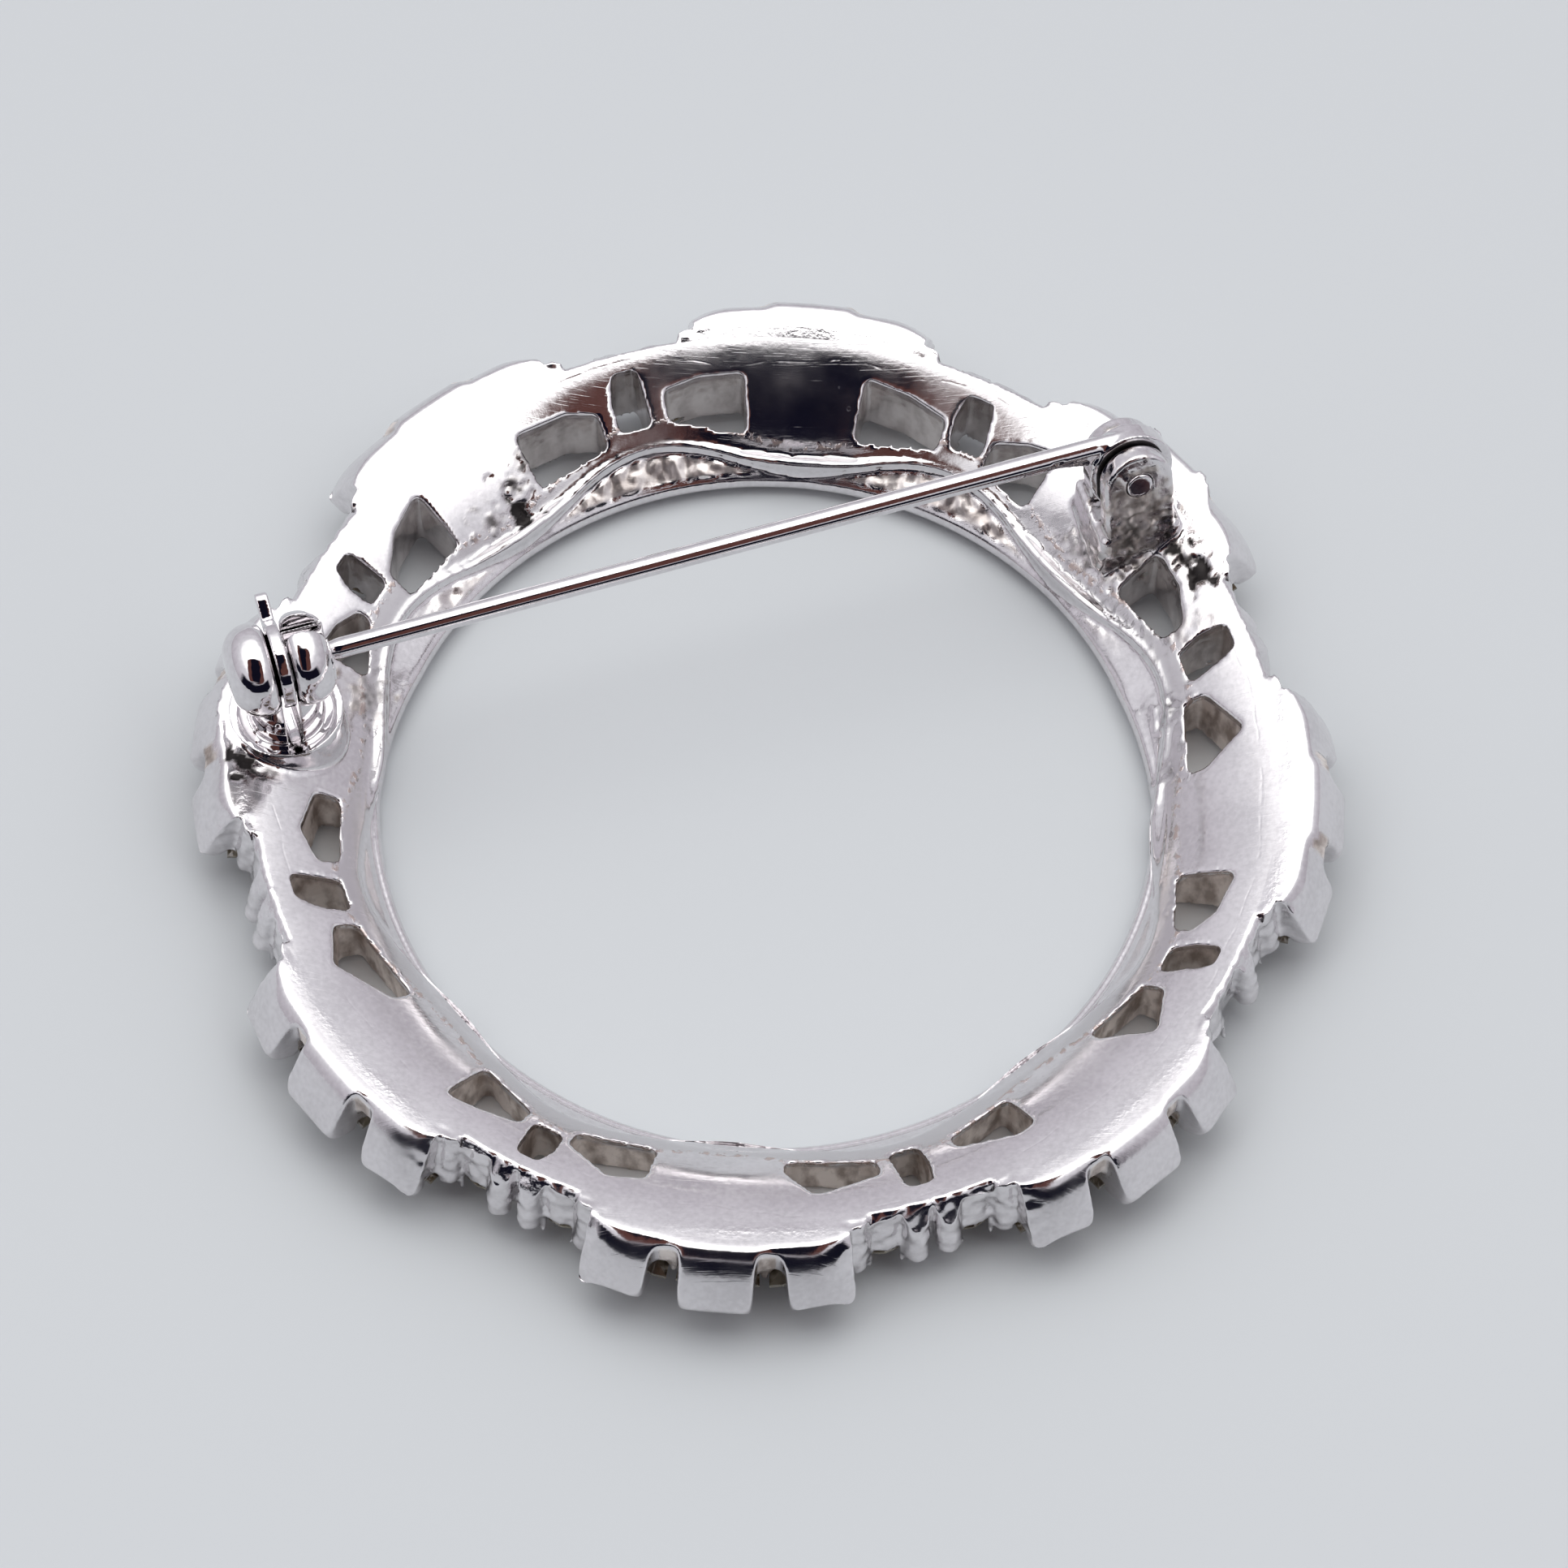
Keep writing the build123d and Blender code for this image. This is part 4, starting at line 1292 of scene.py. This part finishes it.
    def sector(self, mesh: bpy.types.Mesh, index: int) -> Piece:
        """Takes one sector of the ring's mesh.

        Args:
            mesh: The whole ring.
            index: Number of the sector.

        Returns:
            The piece.
        """
        start = math.radians(PLAN.first_waist) + index * math.tau / self.sectors
        part = mesh.copy()
        work = bmesh.new()
        work.from_mesh(part)
        faces = [f for f in work.faces if self.outside(f, start)]
        bmesh.ops.delete(work, geom=faces, context="FACES")
        work.to_mesh(part)
        work.free()
        return Piece(f"ring_sector_{index + 1}", part)

    def outside(self, face: bmesh.types.BMFace, start: float) -> bool:
        """Whether a face lies outside the sector that starts at an angle."""
        centre = face.calc_center_median()
        turn = (math.atan2(centre.y, centre.x) - start) % math.tau
        return turn >= math.tau / self.sectors


@dataclass
class PinParts:
    """The pin, its rivet and the turning sleeve, each softened at its edges."""

    nodes: dict
    voxel: float = 0.05 * MM
    # solid, its body and how many times it is smoothed
    rides: tuple = (
        ("pin_stem", Body.PIN, 4),
        ("hinge_rivet", Body.FRAME, 4),
        ("catch_sleeve", Body.CATCH, 9),
    )

    def build(self, finish: bpy.types.Material) -> None:
        """Makes each piece from a merged copy of its solid.

        Args:
            finish: Metal of the pieces.
        """
        for name, body, turns in self.rides:
            piece = Piece(name + "_polished", merged_copy(self.nodes[name]))
            piece.apply("REMESH", mode="VOXEL", voxel_size=self.voxel)
            piece.apply("SMOOTH", factor=0.5, iterations=turns)
            shade_smooth(piece.object.data)
            piece.dress(finish, "white_gold", body)
            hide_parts(name)
            log.info("%s: %d faces", piece.object.name, len(piece.object.data.polygons))


@dataclass
class SetStones:
    """The stones of the lobes, the waists and the rail."""

    nodes: dict

    def dress(self, finish: bpy.types.Material) -> None:
        """Gives every stone its finish."""
        for name, node in self.nodes.items():
            if name.startswith(("baguette", "round", "rail_stones")):
                node.data.materials.clear()
                node.data.materials.append(finish)


@dataclass
class Studio:
    """Pale floor, soft surroundings and the camera at the photograph's angle."""

    elevation: float = 60.08
    roll: float = -1.64
    distance: float = 162.72 * MM
    lens: float = 104.26
    target: tuple = (0.622 * MM, -0.821 * MM, 3.2 * MM)
    floor_half: float = 0.6
    floor_colour: tuple = (0.628, 0.656, 0.676)
    floor_roughness: float = 0.45
    strength: float = 1.0
    room: tuple = (
        # height of the direction, from -1 down to 1 up, and the light there
        (-1.0, (0.45, 0.45, 0.47)),
        (0.0, (0.50, 0.48, 0.52)),
        (0.30, (0.62, 0.60, 0.65)),
        (0.60, (0.80, 0.80, 0.84)),
        (0.72, (1.30, 1.30, 1.32)),
        (0.86, (2.10, 2.10, 2.10)),
    )
    # dark and warm ovals beside the camera: degrees off straight up, half sizes as sines, and colours
    dark_off: float = 36.0
    dark_half: tuple = (0.26, 0.49)
    dark_colour: tuple = (0.006, 0.006, 0.014)
    warm_half: tuple = (0.48, 0.49)
    warm_colour: tuple = (0.115, 0.048, 0.042)
    oval_edge: float = 0.80
    # the dark low front: height and Y of the direction
    low_dark: tuple = (0.34, 0.42)
    front_dark: tuple = (-0.45, -0.6)

    def build(self) -> None:
        """Makes the floor, the surroundings and the camera."""
        bpy.context.scene.view_settings.view_transform = "Standard"
        self.floor()
        self.surroundings()
        self.camera()

    def floor(self) -> None:
        """Makes the plain floor that the brooch lies on."""
        work = bmesh.new()
        bmesh.ops.create_grid(work, x_segments=1, y_segments=1, size=self.floor_half)
        mesh = bpy.data.meshes.new("floor")
        work.to_mesh(mesh)
        work.free()
        bench = NodeBench("pale_floor")
        bench.shader.inputs["Base Color"].default_value = (*self.floor_colour, 1)
        bench.shader.inputs["Roughness"].default_value = self.floor_roughness
        mesh.materials.append(bench.material)
        floor = bpy.data.objects.new("floor", mesh)
        bpy.context.scene.collection.objects.link(floor)

    def surroundings(self) -> None:
        """Lights the scene from a soft bright room, dark and warm beside the camera."""
        world = bpy.data.worlds.new("room")
        world.use_nodes = True
        bpy.context.scene.world = world
        bench = WorldBench(world)
        split = bench.add("SeparateXYZ")
        bench.link(bench.direction, split.inputs[0])
        height = bench.maths("MULTIPLY_ADD", split.outputs["Z"], 0.5, 0.5)
        stops = tuple((0.5 + 0.5 * level, colour) for level, colour in self.room)
        light = bench.ramp(height, stops)
        for half, colour in ((self.warm_half, self.warm_colour), (self.dark_half, self.dark_colour)):
            light = bench.blend(bench.oval(self.dark_off, half, self.oval_edge), light, colour)
        low = bench.span(split.outputs["Z"], *self.low_dark, 1.0, 0.0)
        front = bench.span(split.outputs["Y"], *self.front_dark, 0.0, 1.0)
        light = bench.blend(bench.maths("MULTIPLY", low, front), light, self.dark_colour)
        background = world.node_tree.nodes["Background"]
        bench.link(light, background.inputs["Color"])
        background.inputs["Strength"].default_value = self.strength

    def camera(self) -> None:
        """Places the camera at the photograph's angle."""
        up = math.radians(self.elevation)
        turn = math.radians(self.roll)
        back = Vector((0, -math.cos(up), math.sin(up)))
        right = Vector((1, 0, 0))
        above = back.cross(right)
        across = right * math.cos(turn) - above * math.sin(turn)
        upward = right * math.sin(turn) + above * math.cos(turn)
        data = bpy.data.cameras.new("camera")
        data.lens = self.lens
        data.sensor_width = 36
        data.clip_start = 0.01
        data.clip_end = 10
        camera = bpy.data.objects.new("camera", data)
        place = Matrix((across, upward, back)).transposed().to_4x4()
        place.translation = Vector(self.target) + back * self.distance
        camera.matrix_world = place
        bpy.context.scene.collection.objects.link(camera)
        bpy.context.scene.camera = camera


def main() -> None:
    """Builds the dressed brooch piece by piece."""
    logging.basicConfig(level=logging.INFO, format="%(name)s: %(message)s")
    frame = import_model()
    nodes = frame["nodes"]
    casting = MetalFinish("bright_white_gold", cast=True).make()
    polished = MetalFinish(
        "polished_pin", wave=0.05, scratch=0.03, roughness=0.03, rough_spots=0.07,
    ).make()
    CastRing(nodes).build(casting, polished)
    log.info("cast ring built")
    PinParts(nodes).build(polished)
    log.info("pin parts built")
    SetStones(nodes).dress(StoneFinish("clear_stone").make())
    log.info("stones dressed")
    Studio().build()
    log.info("studio built")


if __name__ == "__main__":
    main()
